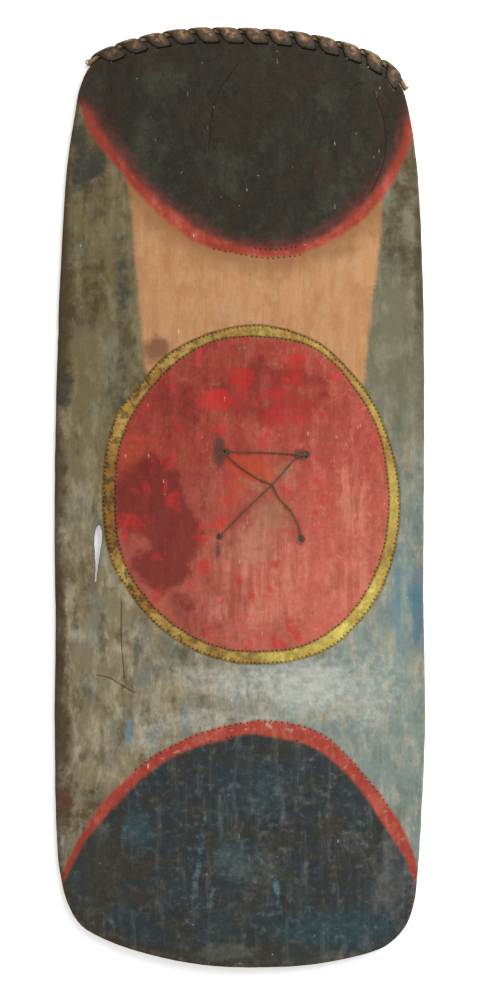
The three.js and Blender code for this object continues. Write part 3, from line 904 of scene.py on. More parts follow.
    face = coats(
        ground,
        (tan, inside("tan_depth", 5.0, 8.0, 8.0)),
        ("haze", patch("smear", 0.45) * 0.7),
        (head_band, inside("head_outer", 4.5, 5.0, 4.0) * worn_band),
        (band, inside("foot_outer", 3.6, 4.0, 5.0) * worn_band),
        (head, inside("head_inner", 7.0, 6.0, 4.0)),
        (foot, inside("foot_inner", 4.0, 5.0, 7.0)),
        (ring, inside("disc_outer", 1.6, 3.0, 5.0)),
        (disc, inside("disc_inner", 1.8, 3.0, 5.0)),
        ("soot", patch("stain", 0.4) * 0.7),
    )
    drips = finish.specks(80, 0.13, 0.09, finish.stretched((1, 0.3, 1)))
    flecks = finish.specks(130, 0.14, 0.05)
    specks = finish.specks(260, 0.2, 0.05, drawn((1, 0.7, 1), 4.0))
    edge = mark("edge") + fray * (4 * MM) + (mottle - 0.5) * 0.03
    face = coats(
        finish.shaded(face, 0.42 + 0.42 * mottle + 0.3 * streak + 0.2 * grit + 0.24 * thread),
        ("fleck", drips.most(flecks) * 0.7 * mottle.eased(0.4, 0.6)),
        ("pit", specks * 0.6),
        ("umber", edge.eased(0.0, 0.012, 1.0, 0.0) * (0.75 - 0.55 * right)),
        # Dirt and painted shade in the cracks and punched dots, darkest where they are cut deepest
        ("pit", mark("crack").eased(0.25, 0.9) * 0.85),
        ("pit", mark("pit").eased(0.25, 0.75) * 0.8),
    )
    wood = mix("wood", "wood_dark", streak.eased(0.4, 0.65) * 0.7 + thread.eased(0.5, 0.7) * 0.3)
    base = mix(wood, face, (mark("face") + fray * 0.4).eased(0.15, 0.4))

    crusty = mark("head_inner").eased(-0.002, 0.004)
    height = thread * 0.3 + grit * 0.25 + mottle * (0.5 + 1.0 * crusty) + blotch * 0.4
    return finish.done(base, 0.72 + 0.2 * mottle, height - crackle * crusty * 0.25, 1.2 * MM)


def cane_finish(fibres):
    """Split cane: straw and brown by cane, with fine grain along it and a green tint outside."""
    finish = Finish("cane_core", fibres, 0.35)
    grain = finish.noise(260, 4, 0.6)
    speck = finish.noise(1400, 2)
    base = finish.coats(
        "cane",
        ("cane_dark", finish.mark("tint") * 0.7 + grain.eased(0.4, 0.7) * 0.35),
        ("moss", finish.mark("outer") * grain.eased(0.35, 0.6) * 0.8),
    )
    base = finish.shaded(base, 0.75 + 0.4 * speck)
    return finish.done(base, 0.5 + 0.3 * grain, grain * 0.4 + speck * 0.6, 0.4 * MM)


def strip_finish(fibres):
    """Cane strip: brown with fibres along it, worn and given a painted highlight on its crown, and with
    painted shade at its edges.
    """
    finish = Finish("cane_strip", fibres, 0.3)
    mark = finish.mark
    run = finish.node("ShaderNodeCombineXYZ", {}, {"X": mark("along") * 0.08, "Y": mark("across")})
    fibre = finish.noise(900, 3, 0.6, run)
    blot = finish.noise(120, 3, 0.6)
    edge = mark("edge")
    # Painted highlight, with some wear, along the middle of the strip, not where it turns over the top
    crest_highlight = edge.eased(0.2, 0.85, 1.0, 0.0) * (1 - mark("outer"))
    base = finish.coats(
        "strip",
        ("strip_wear_and_highlight", crest_highlight * (blot * 0.6 + fibre * 0.4).eased(0.46, 0.58)),
        # Painted shade along the strip's two edges, with dark fibres
        ("strip_dark_and_shade", edge.eased(0.6, 1.0) * 0.85 + fibre.eased(0.5, 0.66) * 0.5),
        ("moss", mark("outer") * blot.eased(0.42, 0.58) * 0.8),
        ("strip_dark_and_shade", mark("soot").most(mark("painted") * 0.85)),
    )
    base = finish.shaded(base, 0.6 + 0.5 * fibre + 0.3 * mark("tint"))
    return finish.done(base, 0.45 + 0.3 * fibre, fibre, 0.5 * MM)


def cord_finish(fibres):
    """Bark twine: dark brown with fine hairs wound along the plies, worn lighter in patches, with painted
    shade in the grooves between the plies.
    """
    finish = Finish("bark_cord", fibres, 0.2)
    mark = finish.mark
    run = finish.node("ShaderNodeCombineXYZ", {}, {"X": mark("along"), "Y": mark("ply") * (0.6 * MM)})
    hair = finish.noise(2200, 3, 0.6, run)
    patchy = finish.noise(70, 2)
    base = finish.mix("cord", "cord_light", hair.eased(0.5, 0.75) * patchy.eased(0.35, 0.65))
    # Painted shade: the plies' crests lighter and the grooves between them darker, by the rise of the
    # section
    base = finish.shaded(base, 0.65 + 0.4 * hair + 0.2 * mark("rise"))
    return finish.done(base, 0.8 + 0.15 * hair, hair, 0.3 * MM)


# Where the floor hardly glows, in metres: in a small circle under the cord's holes, and under the slots,
# inside a large circle that the top rim follows, within two sides and above a lower line. The glow comes
# in between the two numbers of each limit.
LACING_MIDDLE = (0.035, 0.01, 0)
LACING_LIMIT = (0.12, 0.16)
ARC_MIDDLE = (-0.018, 0.224, 0)
ARC_LIMIT = (0.537, 0.541)
SLOTS_MIDDLE = 0.012
SLOTS_SIDE_LIMIT = (0.25, 0.254)
SLOTS_LOWER_LIMIT = (0.6, 0.62)
HIDDEN_GLOW = (0.2, 0.16, 0.12, 1)
OPEN_GLOW = (1, 1, 1, 1)


def floor_finish(stage):
    """White floor that glows a little, so that shadows stay faint.

    It hardly glows under the cord's holes and the slots, so that they look dark.
    """
    finish = Finish("pale_floor", stage, 0.1)
    finish.shader.inputs["Emission Strength"].default_value = stage.floor_glow
    cloud = finish.noise(2.5, 2)
    base = finish.shaded(finish.tone["floor"][:3], 0.995 + 0.01 * cloud)

    def distance_to(place):
        settings = {"operation": "DISTANCE"}
        return finish.node("ShaderNodeVectorMath", settings, {0: finish.place, 1: place}, "Value")

    across = finish.node("ShaderNodeSeparateXYZ", {}, {"Vector": finish.place}, "X")
    beside = across.maths("ABSOLUTE", across - SLOTS_MIDDLE).eased(*SLOTS_SIDE_LIMIT)
    below = across.sibling("Y").eased(*SLOTS_LOWER_LIMIT, 1.0, 0.0)
    clear_of_slots = distance_to(ARC_MIDDLE).eased(*ARC_LIMIT).most(beside).most(below)
    open_floor = distance_to(LACING_MIDDLE).eased(*LACING_LIMIT).least(clear_of_slots)
    finish.feed(finish.shader.inputs["Emission Color"], finish.mix(HIDDEN_GLOW, OPEN_GLOW, open_floor))
    return finish.done(base, 0.9, cloud, 0.01 * MM)


# The form of the board

class Wood:
    """The board's form, from its sizes: outline, face, back, and the stretch of rim that is whipped."""

    def __init__(self, sizes):
        self.sizes = sizes
        half = (sizes.width / 2, sizes.height / 2)
        loop = spline(np.array(OUTLINE_SHARES) * half, OUTLINE_STEPS, closed=True)
        self.middle = np.array(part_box("board")[0][:2]) - loop.min(axis=0)
        self.outline = loop + self.middle
        self.inward = left_of(way_round(self.outline))
        first = RIM_LEFT_POINT * OUTLINE_STEPS
        last = (RIM_RIGHT_POINT - len(OUTLINE_SHARES)) * OUTLINE_STEPS
        self.rim = self.outline[np.arange(first, last - 1, -1)]
        self.rim_run = run_of(self.rim)
        self.rim_tangent = unit(np.gradient(self.rim, axis=0))

    def face(self, x):
        """A parabola across the board that falls to the side thickness."""
        sizes = self.sizes
        crown = sizes.back_hollow + sizes.middle_thickness - sizes.side_thickness
        return sizes.side_thickness + crown * (1 - ((x - self.middle[0]) / (sizes.width / 2)) ** 2)

    def back(self, x):
        """A parabola that meets the bearing plane where the bearing strips begin."""
        sizes = self.sizes
        reach = sizes.width / 2 - sizes.bearing_width
        return sizes.back_hollow * (1 - ((x - self.middle[0]) / reach) ** 2)

    def beside_rim(self, along, outward, up):
        """Points along the rim, out from it, and up from the middle of the board's thickness."""
        along, outward, up = np.broadcast_arrays(along, outward, up)
        held = np.clip(along, 0, self.rim_run[-1])
        place, tangent = (
            np.stack([np.interp(held, self.rim_run, part) for part in line.T], axis=-1)
            for line in (self.rim, self.rim_tangent)
        )
        tangent = unit(tangent)
        place = place + tangent * (along - held)[..., None] + left_of(tangent) * outward[..., None]
        height = (self.face(place[..., 0]) + self.back(place[..., 0])) / 2 + up
        return np.concatenate([place, height[..., None]], axis=-1)

    def half_thickness(self, along):
        x = self.beside_rim(along, 0.0, 0.0)[..., 0]
        return (self.face(x) - self.back(x)) / 2

    def stitches(self, rim):
        """Places of the slots along the rim: the last turn of the strip stays clear of the curl."""
        curl = rim.curl_radius + rim.curl_thickness / 2
        first = curl + 5 * rim.clearance + (rim.strip_width + rim.stitch_pitch) / 2
        return np.arange(first, self.rim_run[-1] - rim.slot_length / 2, rim.stitch_pitch)

    def from_middle(self, place):
        """Place in the frame of millimetres from the middle of the board."""
        return self.middle + np.array(place) * MM


def circle(middle, radius, sides):
    turn = full_turn(sides)
    return np.asarray(middle) + radius * np.stack([np.cos(turn), np.sin(turn)], axis=1)


def bezier(start, first, second, end, steps):
    """Cubic from start to end that is drawn towards two points between them."""
    share = (np.arange(steps) / steps)[:, None]
    start, first, second, end = (np.array(point) for point in (start, first, second, end))
    return (
        (1 - share) ** 3 * start + 3 * (1 - share) ** 2 * share * first
        + 3 * (1 - share) * share ** 2 * second + share ** 3 * end
    )


def split_outline(wood):
    """The split: a drop, widest near its top, that leans to the left and ends in a small round foot."""
    upper_end, drop_length, width, tail_width = (-232, -39), 95, 14, 4
    head, tail = width / 2, tail_width / 2
    foot = tail - drop_length
    turn = math.pi + math.pi * np.arange(6)[:, None] / 6
    left, right = (-1.3 * head, -4.2 * head), (0.62 * head, -3.6 * head)
    drop = np.vstack([
        bezier((0, 0), (-0.9 * head, -0.3 * head), (-1.3 * head, -1.6 * head), left, 16),
        bezier(left, (-1.3 * head, -8 * head), (-0.7 * head, foot + 3 * head), (-head - tail, foot), 34),
        np.hstack([-head + tail * np.cos(turn), foot + tail * np.sin(turn)]),
        bezier((-head + tail, foot), (-0.5 * head, foot + 3 * head), (0.1 * head, -7 * head), right, 34),
        bezier(right, (0.8 * head, -2.2 * head), (0.7 * head, -0.9 * head), (0, 0), 14),
    ])
    return wood.from_middle(drop + upper_end)


def slot_loop(wood, rim, along):
    """Outline of one slot: a rectangle along the rim, with a point every two millimetres."""
    middle = wood.beside_rim(along, -rim.stitch_depth, 0.0)[:2]
    ahead = wood.beside_rim(along + rim.slot_width, -rim.stitch_depth, 0.0)[:2]
    along_rim = unit(ahead - middle)
    corners = np.array(((-1, -1), (1, -1), (1, 1), (-1, 1))) * (rim.slot_length / 2, rim.slot_width / 2)
    sides = [
        corner + (following - corner) * np.linspace(0, 1, steps + 1)[:-1, None]
        for corner, following, steps in zip(corners, np.roll(corners, -1, axis=0), (13, 3, 13, 3))
    ]
    return middle + np.vstack(sides) @ np.stack([along_rim, left_of(along_rim)])


def hole_loops(wood, settings):
    """Outlines of all that goes right through the board: cord holes, slots and the split."""
    cord, rim = settings.cord, settings.rim
    spacing = cord.diameter + cord.strand_air
    radius = (spacing + cord.diameter) / 2 + cord.hole_room
    holes = (UPPER_LEFT, UPPER_RIGHT, LOWER_LEFT, LOWER_RIGHT)
    loops = [circle(wood.from_middle(place), radius, HOLE_SIDES) for place in holes]
    loops += [slot_loop(wood, rim, along) for along in wood.stitches(rim)]
    split = split_outline(wood)
    ragged = np.stack([rough(split, 0.006, 12), rough(split, 0.006, 13)], axis=1)
    return loops + [split + 0.5 * MM * ragged]


def widened(loop, by):
    """A counter-clockwise loop moved outwards, square to itself."""
    return loop - by * left_of(way_round(loop))


def dots(board):
    """Middles of the punched dots: two rows round the disc, and rows along the head's and foot's bands."""
    chance = np.random.default_rng(31)
    disc_outer = spline(photo_place(DISC_OUTER), 12, closed=True)
    disc_inner = spline(photo_place(DISC_INNER), 12, closed=True)
    hub = disc_outer.mean(axis=0)
    rows = [
        spaced(disc_outer + unit(hub - disc_outer) * 3.2 * MM, board.dot_pitch, closed=True),
        spaced(disc_inner + unit(disc_inner - hub) * 0.6 * MM, board.dot_pitch, closed=True),
        *(spaced(spline(photo_place(line), 8), pitch * MM) for pitch, *line in BAND_DOTS),
        photo_place(FOOT_INNER_DOTS),
    ]
    middles = np.vstack(rows)
    return middles + chance.normal(0, 0.5 * MM, middles.shape)


def field_loop(line, far):
    """Closed loop of a painted line from side to side and a straight line far past the board's end."""
    curve = spline(photo_place(line), 8)
    ends = photo_place([(line[-1][0], far), (line[0][0], far)])
    return np.vstack([curve, ends])


def hexagonal(low, high, step, seed):
    """Points on a grid of even triangles between two corners, each moved a little at random."""
    chance = np.random.default_rng(seed)
    most = 0.22
    rows = np.arange(low[1], high[1], step * math.sqrt(0.75))
    columns = np.arange(low[0], high[0], step)
    right, up = np.meshgrid(columns, rows)
    right = right + (np.arange(len(rows)) % 2)[:, None] * step / 2
    points = np.stack([right.ravel(), up.ravel()], axis=1)
    return points + chance.uniform(-most, most, points.shape) * step


def filled(rim_loop, holes, loose):
    """Triangles that fill a rim loop around hole loops, through the loose points as well.

    The points are the rim's, the holes' and the loose ones, in that order. A triangle whose corners all
    lie on one hole's loop, and whose middle is inside it, is left out.
    """
    points = np.vstack([rim_loop, *holes, loose])
    edges = []
    owner = np.full(len(points), -1)
    first = len(rim_loop)
    for number, loop in enumerate(holes):
        steps = np.arange(len(loop))
        edges += np.stack([first + steps, first + (steps + 1) % len(loop)], axis=1).tolist()
        owner[first:first + len(loop)] = number
        first += len(loop)
    made = delaunay_2d_cdt(points.tolist(), edges, [list(range(len(rim_loop)))], 1, 1e-9)
    source = np.array([origin[0] for origin in made[3]])
    triangles = source[np.array(made[2])]
    corners = points[triangles]
    middles = corners.mean(axis=1)
    keep = np.ones(len(triangles), bool)
    for number, loop in enumerate(holes):
        on_loop = np.flatnonzero((owner[triangles] == number).all(axis=1))
        keep[on_loop] = depth_inside(middles[on_loop], loop) < 0
    triangles = triangles[keep]
    side = corners[keep]
    area = np.cross(side[:, 1] - side[:, 0], side[:, 2] - side[:, 0])
    triangles[area < 0] = triangles[area < 0][:, ::-1]
    return points, triangles


class SHIELD_OT_board(bpy.types.Operator):
    """Make the cambered wooden board with its relief, holes, split, cracks and paint"""
    bl_idname = "shield.board"
    bl_label = "Board"

    # Rings of a hole's wall, as shares of the way from the face to the back
    WALL = (0.12, 0.5, 0.88)
    # Rings of points in a dot, each a share of its radius and a number of points, and round a hole
    DOT_RINGS = ((0.5, 6), (1.0, 8))
    LIPS = (0.8 * MM, 2.0 * MM)
    # How far the even grid and the other points keep from the rim and the holes
    GRID_MARGIN = 2.8 * MM
    RING_MARGIN = 0.5 * MM
    # Wear of a hole's lip, and adze facets of the back and of its bearing strips
    LIP_DEPTH = 1.1 * MM
    LIP_WIDTH = 0.9 * MM
    FACET_DEPTH = 1.6 * MM
    BEARING_DEPTH = 0.25 * MM
    # Angles of each quarter round at the board's side, with those of its two ends
    QUARTER = 5

    def execute(self, context):
        settings = context.scene.shield
        board = settings.board
        wood = Wood(board)
        dents = 0.5 + 0.5 * rough(wood.outline, 0.03, 3)
        outline = wood.outline + wood.inward * (board.edge_wear * dents ** 1.5)[:, None]
        arris = board.arris * (1 + 0.45 * rough(wood.outline, 0.05, 11))
        face_loop = outline + wood.inward * arris[:, None]
        back_loop = outline + wood.inward * board.arris
        holes = hole_loops(wood, settings)

        head_inner = field_loop(HEAD_BAND_INNER, HEAD_FAR)
        crack_lines = [spline(photo_place(line), 12) for line in CRACKS]
        middles = dots(board)
        loose = self.loose_points(board, outline, holes, head_inner, crack_lines, middles)
        plan, face = filled(face_loop, holes, loose)
        loose = hexagonal(outline.min(axis=0), outline.max(axis=0), board.back_step, 21)
        loose = self.clear_of(loose, back_loop, holes, board.back_step * 0.6)
        back_plan, back = filled(back_loop, holes, loose)

        heap = Heap()
        marks = self.marks(plan, outline, head_inner, crack_lines, middles, board)
        face_height = self.face_height(plan, wood, board, marks, holes)
        heap.add(np.column_stack([plan, face_height]), [face], face=1.0, **marks)
        back_start = heap.count
        back_height = self.back_height(back_plan, wood, board)
        heap.add(np.column_stack([back_plan, back_height]), [back[:, ::-1]])

        self.side(heap, outline, wood, arris, face_height, back_height, back_start, marks)
        first = len(face_loop)
        for hole in holes:
            part = slice(first, first + len(hole))
            top, bottom = face_height[part], back_height[part]
            rings = [np.column_stack([plan[part], top + (bottom - top) * share]) for share in self.WALL]
            heap.wall(first, rings, back_start + first, outwards=False)
            first += len(hole)
        heap.piece("painted_board", painted_wood(settings.paint), "painted_wood", "board")
        return {"FINISHED"}

    def clear_of(self, points, loop, holes, margin):
        """The points that lie inside a loop and outside the holes, each by a margin."""
        keep = (depth_inside(points, loop) > margin) & (spot_distance(points, np.vstack(holes)) > margin)
        for hole in holes:
            boxed = np.flatnonzero(((points > hole.min(axis=0)) & (points < hole.max(axis=0))).all(axis=1))
            keep[boxed] &= ~line_distance(points[boxed], hole, closed=True)[1]
        return points[keep]

    def loose_points(self, board, outline, holes, head_inner, crack_lines, middles):
        """Points of the face: rings in and round each dot and hole, rows beside the cracks, and a grid."""
        inner = (outline + unit(outline.mean(axis=0) - outline) * 1.2 * board.arris)[::3]
        low, high = outline.min(axis=0), outline.max(axis=0)
        coarse = hexagonal(low, high, board.face_step, 22)
        coarse = coarse[depth_inside(coarse, head_inner) <= 0]
        fine = hexagonal((low[0], head_inner[:, 1].min()), high, board.crust_step, 23)
        fine = fine[depth_inside(fine, head_inner) > 0]
        grid = np.vstack([coarse, fine])
        for line in crack_lines:
            near = line_distance(grid, line)[0]
            grid = grid[near > board.crack_width * 0.8]
        grid = grid[spot_distance(grid, middles) > board.dot_radius * 1.35]
        beside = []
        for line in crack_lines:
            run = spaced(line, 2.2 * MM)
            aside = left_of(unit(np.gradient(run, axis=0))) * board.crack_width / 2
            beside += [run, run + aside, run - aside]
        dot_rings = [middles]
        for share, sides in self.DOT_RINGS:
            ring = circle((0, 0), board.dot_radius * share, sides)
            dot_rings.append((middles[:, None, :] + ring).reshape(-1, 2))
        lips = [widened(hole, lip) for hole in holes for lip in self.LIPS]
        grid = self.clear_of(grid, inner, holes, self.GRID_MARGIN)
        special = self.clear_of(np.vstack(beside + dot_rings + lips), inner, holes, self.RING_MARGIN)
        return np.vstack([special, grid])

    def marks(self, plan, outline, head_inner, crack_lines, middles, board):
        """Numbers that the paint reads at each point: depth in the painted lines, cracks, dots and ovals."""
        loops = {
            "head_outer": field_loop(HEAD_BAND_OUTER, HEAD_FAR),
            "head_inner": head_inner,
            "foot_outer": field_loop(FOOT_BAND_OUTER, FOOT_FAR),
            "foot_inner": field_loop(FOOT_BAND_INNER, FOOT_FAR),
            "disc_outer": spline(photo_place(DISC_OUTER), 8, closed=True),
            "disc_inner": spline(photo_place(DISC_INNER), 8, closed=True),
            "tan_depth": photo_place(TAN_FIELD),
            "edge": outline[::4],
        }
        marks = {name: depth_inside(plan, loop) for name, loop in loops.items()}
        marks["crack"] = np.zeros(len(plan))
        for line in crack_lines:
            near = line_distance(plan, line)[0]
            marks["crack"] = np.maximum(marks["crack"], np.clip(1 - near / (board.crack_width / 2), 0, 1))
        marks["pit"] = np.clip(2 * (1 - spot_distance(plan, middles) / board.dot_radius), 0, 1)
        marks["band_fade"] = eased(-plan[:, 1], *-photo_place([(0, row) for row in BAND_FADE])[:, 1])
        for name, ovals in OVALS.items():
            marks[name] = np.max([soft_oval(plan, *oval) for oval in ovals], axis=0)
        return marks

    def face_height(self, plan, wood, board, marks, holes):
        """The face: its parabola, less adze hollows, crust, cracks, dots and worn lips of the holes."""
        hollows = 0.5 + 0.5 * (0.6 * rough(plan, (0.04, 0.16), 41) + 0.4 * rough(plan, (0.014, 0.07), 42))
        lumps = 0.5 + 0.5 * rough(plan, 0.022, 43)
        grooves = np.exp(-(rough(plan, 0.034, 44, 2) / 0.07) ** 2)
        crust = 0.65 * lumps + 0.35 * grooves
        crusty = eased(marks["head_inner"], -0.004, 0.01) * eased(marks["edge"], 0.016, 0.03)
        cut = board.adze_depth * hollows + board.crust_depth * crust * crusty
        cut += board.crack_depth * marks["crack"] + board.dot_depth * marks["pit"]
        cut += self.LIP_DEPTH * np.exp(-spot_distance(plan, np.vstack(holes)) / self.LIP_WIDTH)
        return wood.face(plan[:, 0]) - cut

    def back_height(self, plan, wood, board):
        """The back: its parabola or the bearing plane, with adze hollows cut up into the wood."""
        facets = np.abs(rough(plan, (0.03, 0.075), 51, 2))
        level = wood.back(plan[:, 0])
        resting = eased(-level, -0.5 * MM, 0.2 * MM)
        return (
            np.maximum(level, 0) + self.FACET_DEPTH * facets * (1 - resting)
            + self.BEARING_DEPTH * resting * facets
        )

    def side(self, heap, outline, wood, arris, face_height, back_height, back_start, marks):
        """Rings round the board's side: a quarter round from the face, a straight part, and a quarter
        round to the back. A quarter's ring lies (1 - sin) of the radius in and (1 - cos) of it down."""
        count = len(outline)
        radius = wood.sizes.arris
        face_edge = face_height[:count]
        back_edge = back_height[:count]
        start_x = (outline + wood.inward * arris[:, None])[:, 0]
        rings = []
        for turn in np.linspace(0, math.pi / 2, self.QUARTER)[1:]:
            place = outline + wood.inward * (arris * (1 - math.sin(turn)))[:, None]
            fall = wood.face(place[:, 0]) - wood.face(start_x) - arris * (1 - math.cos(turn))
            rings.append((place, face_edge + fall))
        foot = np.minimum(back_edge + radius, rings[-1][1] - 1 * MM)
        rings.append((outline, (rings[-1][1] + foot) / 2))
        for turn in np.linspace(math.pi / 2, 0, self.QUARTER)[:-1]:
            place = outline + wood.inward * radius * (1 - math.sin(turn))
            rings.append((place, foot - (foot - back_edge) * math.cos(turn)))
        rings = [np.column_stack(ring) for ring in rings]
        carried = {name: np.tile(values[:count], len(rings)) for name, values in marks.items()}
        paint = np.repeat(np.linspace(0.85, 0.0, len(rings)), count)
        heap.wall(0, rings, back_start, outwards=True, face=paint, **carried)


# The whipping

class SHIELD_OT_bundle(bpy.types.Operator):
    """Make the canes that run along the top rim, the curled one on the left and the stub on the right"""
    bl_idname = "shield.bundle"
    bl_label = "Cane bundle"

    # Canes round the middle one, the rings of each, how far it reaches past the rim, and how far it strays
    CANES = 6
    RINGS = 190
    PAST = 1 * MM
    STRAY = 0.35 * MM
    # The stub's ends: how far each leans along the rim, and its share of the stub's length
    STUB_ENDS = ((-0.35, 0.8), (-0.1, 1.0), (0.15, 0.86), (0.38, 0.62))

    def execute(self, context):
        settings = context.scene.shield
        rim = settings.rim
        wood = Wood(settings.board)
        chance = np.random.default_rng(61)
        heap = Heap()
        radius = rim.cane_diameter / 2
        middle = rim.clearance + rim.bundle_height / 2
        along = np.linspace(-self.PAST, wood.rim_run[-1] + self.PAST, self.RINGS)
        reach = rim.bundle_height / 2 - radius
        places = [(0.0, 0.0)] + [
            (reach * math.cos(turn), (rim.bundle_width / 2 - radius) * math.sin(turn))
            for turn in full_turn(self.CANES)
        ]
        for number, (outward, up) in enumerate(places):
            spots = np.stack([along, np.full_like(along, 0.1 * number)], axis=1)
            drift_out, drift_up = (self.STRAY * rough(spots, 0.04, seed + number) for seed in (70, 80))
            held = np.clip(outward + drift_out, -reach, reach)
            path = wood.beside_rim(along, middle + held, up + drift_up)
            thick = radius * (1 + 0.08 * rough(spots, 0.012, 90 + number))
            to_end = np.minimum(along, along[::-1]) + self.PAST
            thick = thick * np.minimum(1, 0.45 + to_end / (6 * MM))
            heap.rod(path, thick, 8, tint=chance.uniform(0, 1), outer=float(outward > 0))
        self.curl(heap, wood, rim)
        self.stub(heap, wood, rim)
        heap.piece("cane_bundle", cane_finish(settings.fibres), "cane_core", "rim_bundle")
        return {"FINISHED"}

    def curl(self, heap, wood, rim):
        """The curled end: a little more than one turn round a point beside the rim, drawing in and up."""
        middle = wood.beside_rim(0.0, rim.clearance + rim.curl_radius + rim.curl_thickness / 2, 0.0)
        turn = np.linspace(-0.6 * math.pi, 1.55 * math.pi, 60)
        share = np.linspace(0, 1, 60)
        reach = rim.curl_radius * (1 - 0.3 * share)
        rise = (share - 0.5) * 2.4 * MM
        path = middle + np.stack([reach * np.cos(turn), reach * np.sin(turn), rise], axis=1)
        thick = rim.curl_thickness / 2 * (0.95 - 0.25 * share) * np.minimum(1, 0.5 + 8 * (1 - share))
        heap.rod(path, thick, 10, tint=0.05)

    def stub(self, heap, wood, rim):
        """The cut stub: four tapered ends that fan out from the rim."""
        foot = wood.rim_run[-1]
        share = np.linspace(0, 1, 14)
        for number, (lean, reach) in enumerate(self.STUB_ENDS):
            outward = rim.clearance + rim.bundle_height / 4 + rim.stub_length * reach * share
            aside = lean * rim.stub_length * 0.5 * share ** 1.4
            up = (number % 2 - 0.5) * 1.4 * MM * (1 - 0.3 * share)
            path = wood.beside_rim(foot - 1.5 * MM + aside, outward, up)
            thick = rim.stub_diameter / 4 * (1 - 0.75 * share ** 1.6)
            heap.rod(path, thick, 8, tint=0.35 + 0.1 * number)


class SHIELD_OT_strip(bpy.types.Operator):
    """Make the flat strip that is sewn over the canes, with its fibres and stray ends"""
    bl_idname = "shield.strip"
    bl_label = "Whipping strip"

    # The last turn ends on the back, by the rim, and leaves out so many of its steps
    LEFT_OUT = 4
    STEPS = 4
    # Points across the strip: above and then below
    ABOVE = 21
    BELOW = 9
    # Fine ribs along the strip
    RIB_HEIGHT = 0.22 * MM
    RIBS = 3.5
    # Hairs that stand out, as shares of the rim from its left
    HAIRS = (0.3, 0.58, 0.61, 0.7, 0.74, 0.76, 0.86, 0.9, 0.94)

    def execute(self, context):
        settings = context.scene.shield
        rim = settings.rim
        wood = Wood(settings.board)
        heap = Heap()
        self.strip(heap, wood, rim)
        self.stray_fibres(heap, wood, rim)
        heap.piece("whipping_strip", strip_finish(settings.fibres), "cane_strip", "rim_strip")
        return {"FINISHED"}

    def stations(self, rim):
        """One turn of the strip, from its slot at the face over the canes to the next slot at the back.

        Each station is its place outward, the share of the half thickness and the distance that make
        its height, the strip's width, its crown, and how far it is over the top.
        """
        proud = rim.clearance + rim.strip_thickness / 2
        over = 3 * rim.clearance + rim.bundle_height + rim.strip_thickness / 2
        neck = rim.slot_length - 2 * rim.stitch_room
        depth, width, crown = rim.stitch_depth, rim.strip_width, rim.strip_crown

        def leg(side, rise):
            """Up to the rim from a slot, on the face where side is 1 and on the back where it is -1."""
            return [
                (-depth, side, -side * 2.5 * MM, neck, 0, 0),
                (-depth, side, -side * 0.5 * MM, neck, 0, 0),
                (-depth * 0.93, side, side * proud, (neck * 2 + width) / 3, rise * 0.3, 0),
                (-depth * 0.72, side, side * proud, (neck + width * 4) / 5, rise * 0.8, 0),
                (-depth * 0.36, side, side * proud, width, rise, 0),
            ]

        arch = []
        for turn in np.linspace(0, math.pi, 9):
            out, up = math.sin(turn), math.cos(turn)
            arch.append((over * out, up, proud * up, width, crown * math.cos(turn / 2), out))
        return spline(leg(1, crown) + arch + leg(-1, 0)[::-1], self.STEPS)

    def strip(self, heap, wood, rim):
        """The strip as one closed form: its section is flat below and crowned and ribbed above."""
        turn = self.stations(rim)
        stitches = wood.stitches(rim)[::-1]
        count = len(turn)
        leg = 2 * self.STEPS
        done = np.clip((np.arange(count) - leg) / (count - 1 - 2 * leg), 0, 1)
        kept = len(stitches) * count - self.STEPS * self.LEFT_OUT
        path_along = (stitches[:, None] - rim.stitch_pitch * done[None]).ravel()[:kept]
        stations = np.tile(turn, (len(stitches), 1))[:kept]
        number = np.repeat(np.arange(len(stitches)), count)[:kept]
        chance = np.random.default_rng(62)
        tints = chance.uniform(0, 1, len(stitches))
        widths = chance.uniform(0.84, 1.0, len(stitches))

        across = np.concatenate([np.linspace(-1, 1, self.ABOVE), np.linspace(0.9, -0.9, self.BELOW)])
        upper = np.repeat([1.0, 0.0], [self.ABOVE, self.BELOW])
        outward, share, extra, width, crown, over = stations.T[..., None]
        width = np.maximum(width * widths[number, None], rim.slot_length - 2 * rim.stitch_room)
        sideways = across * width / 2
        seen_along = path_along[:, None] + sideways
        station_up = share * wood.half_thickness(seen_along) + extra
        middle = np.stack([outward[:, 0], station_up[:, self.ABOVE // 2]], axis=1)
        before = np.maximum(np.arange(kept) - 1, 0)
        after = np.minimum(np.arange(kept) + 1, kept - 1)
        run = unit(middle[after] - middle[before] + TINY)
        ribs = self.RIB_HEIGHT * np.abs(np.sin(across * math.pi * self.RIBS))
        ribs = ribs * np.minimum(1, width / rim.strip_width)
        rounded = crown * (1 - np.abs(across) ** 3) + ribs * (np.abs(across) < 0.97)
        half = rim.strip_thickness / 2
        above = np.where(upper > 0, half * (1 - 0.35 * across ** 8), -half) + rounded * upper
        outward = outward - run[:, 1:] * above
        points = wood.beside_rim(seen_along, outward, station_up + run[:, :1] * above)

        shape = points.shape[:2]
        to_end = np.minimum(seen_along, wood.rim_run[-1] - seen_along)
        marks = {
            "along": np.arange(kept)[:, None] * 1.6 * MM,
            "across": sideways,
            "edge": np.abs(across),
            "tint": tints[number, None],
            "outer": over ** 3,
            "painted": eased(-outward, -2 * MM, 11 * MM),
            "soot": 0.65 * np.clip(1.25 - to_end / 0.07, 0, 1),
        }
        points = np.vstack([points.reshape(-1, 3), points[0].mean(axis=0), points[-1].mean(axis=0)])
        marks = {name: capped(values, shape) for name, values in marks.items()}
        heap.add(points, closed_faces(*shape), **marks)

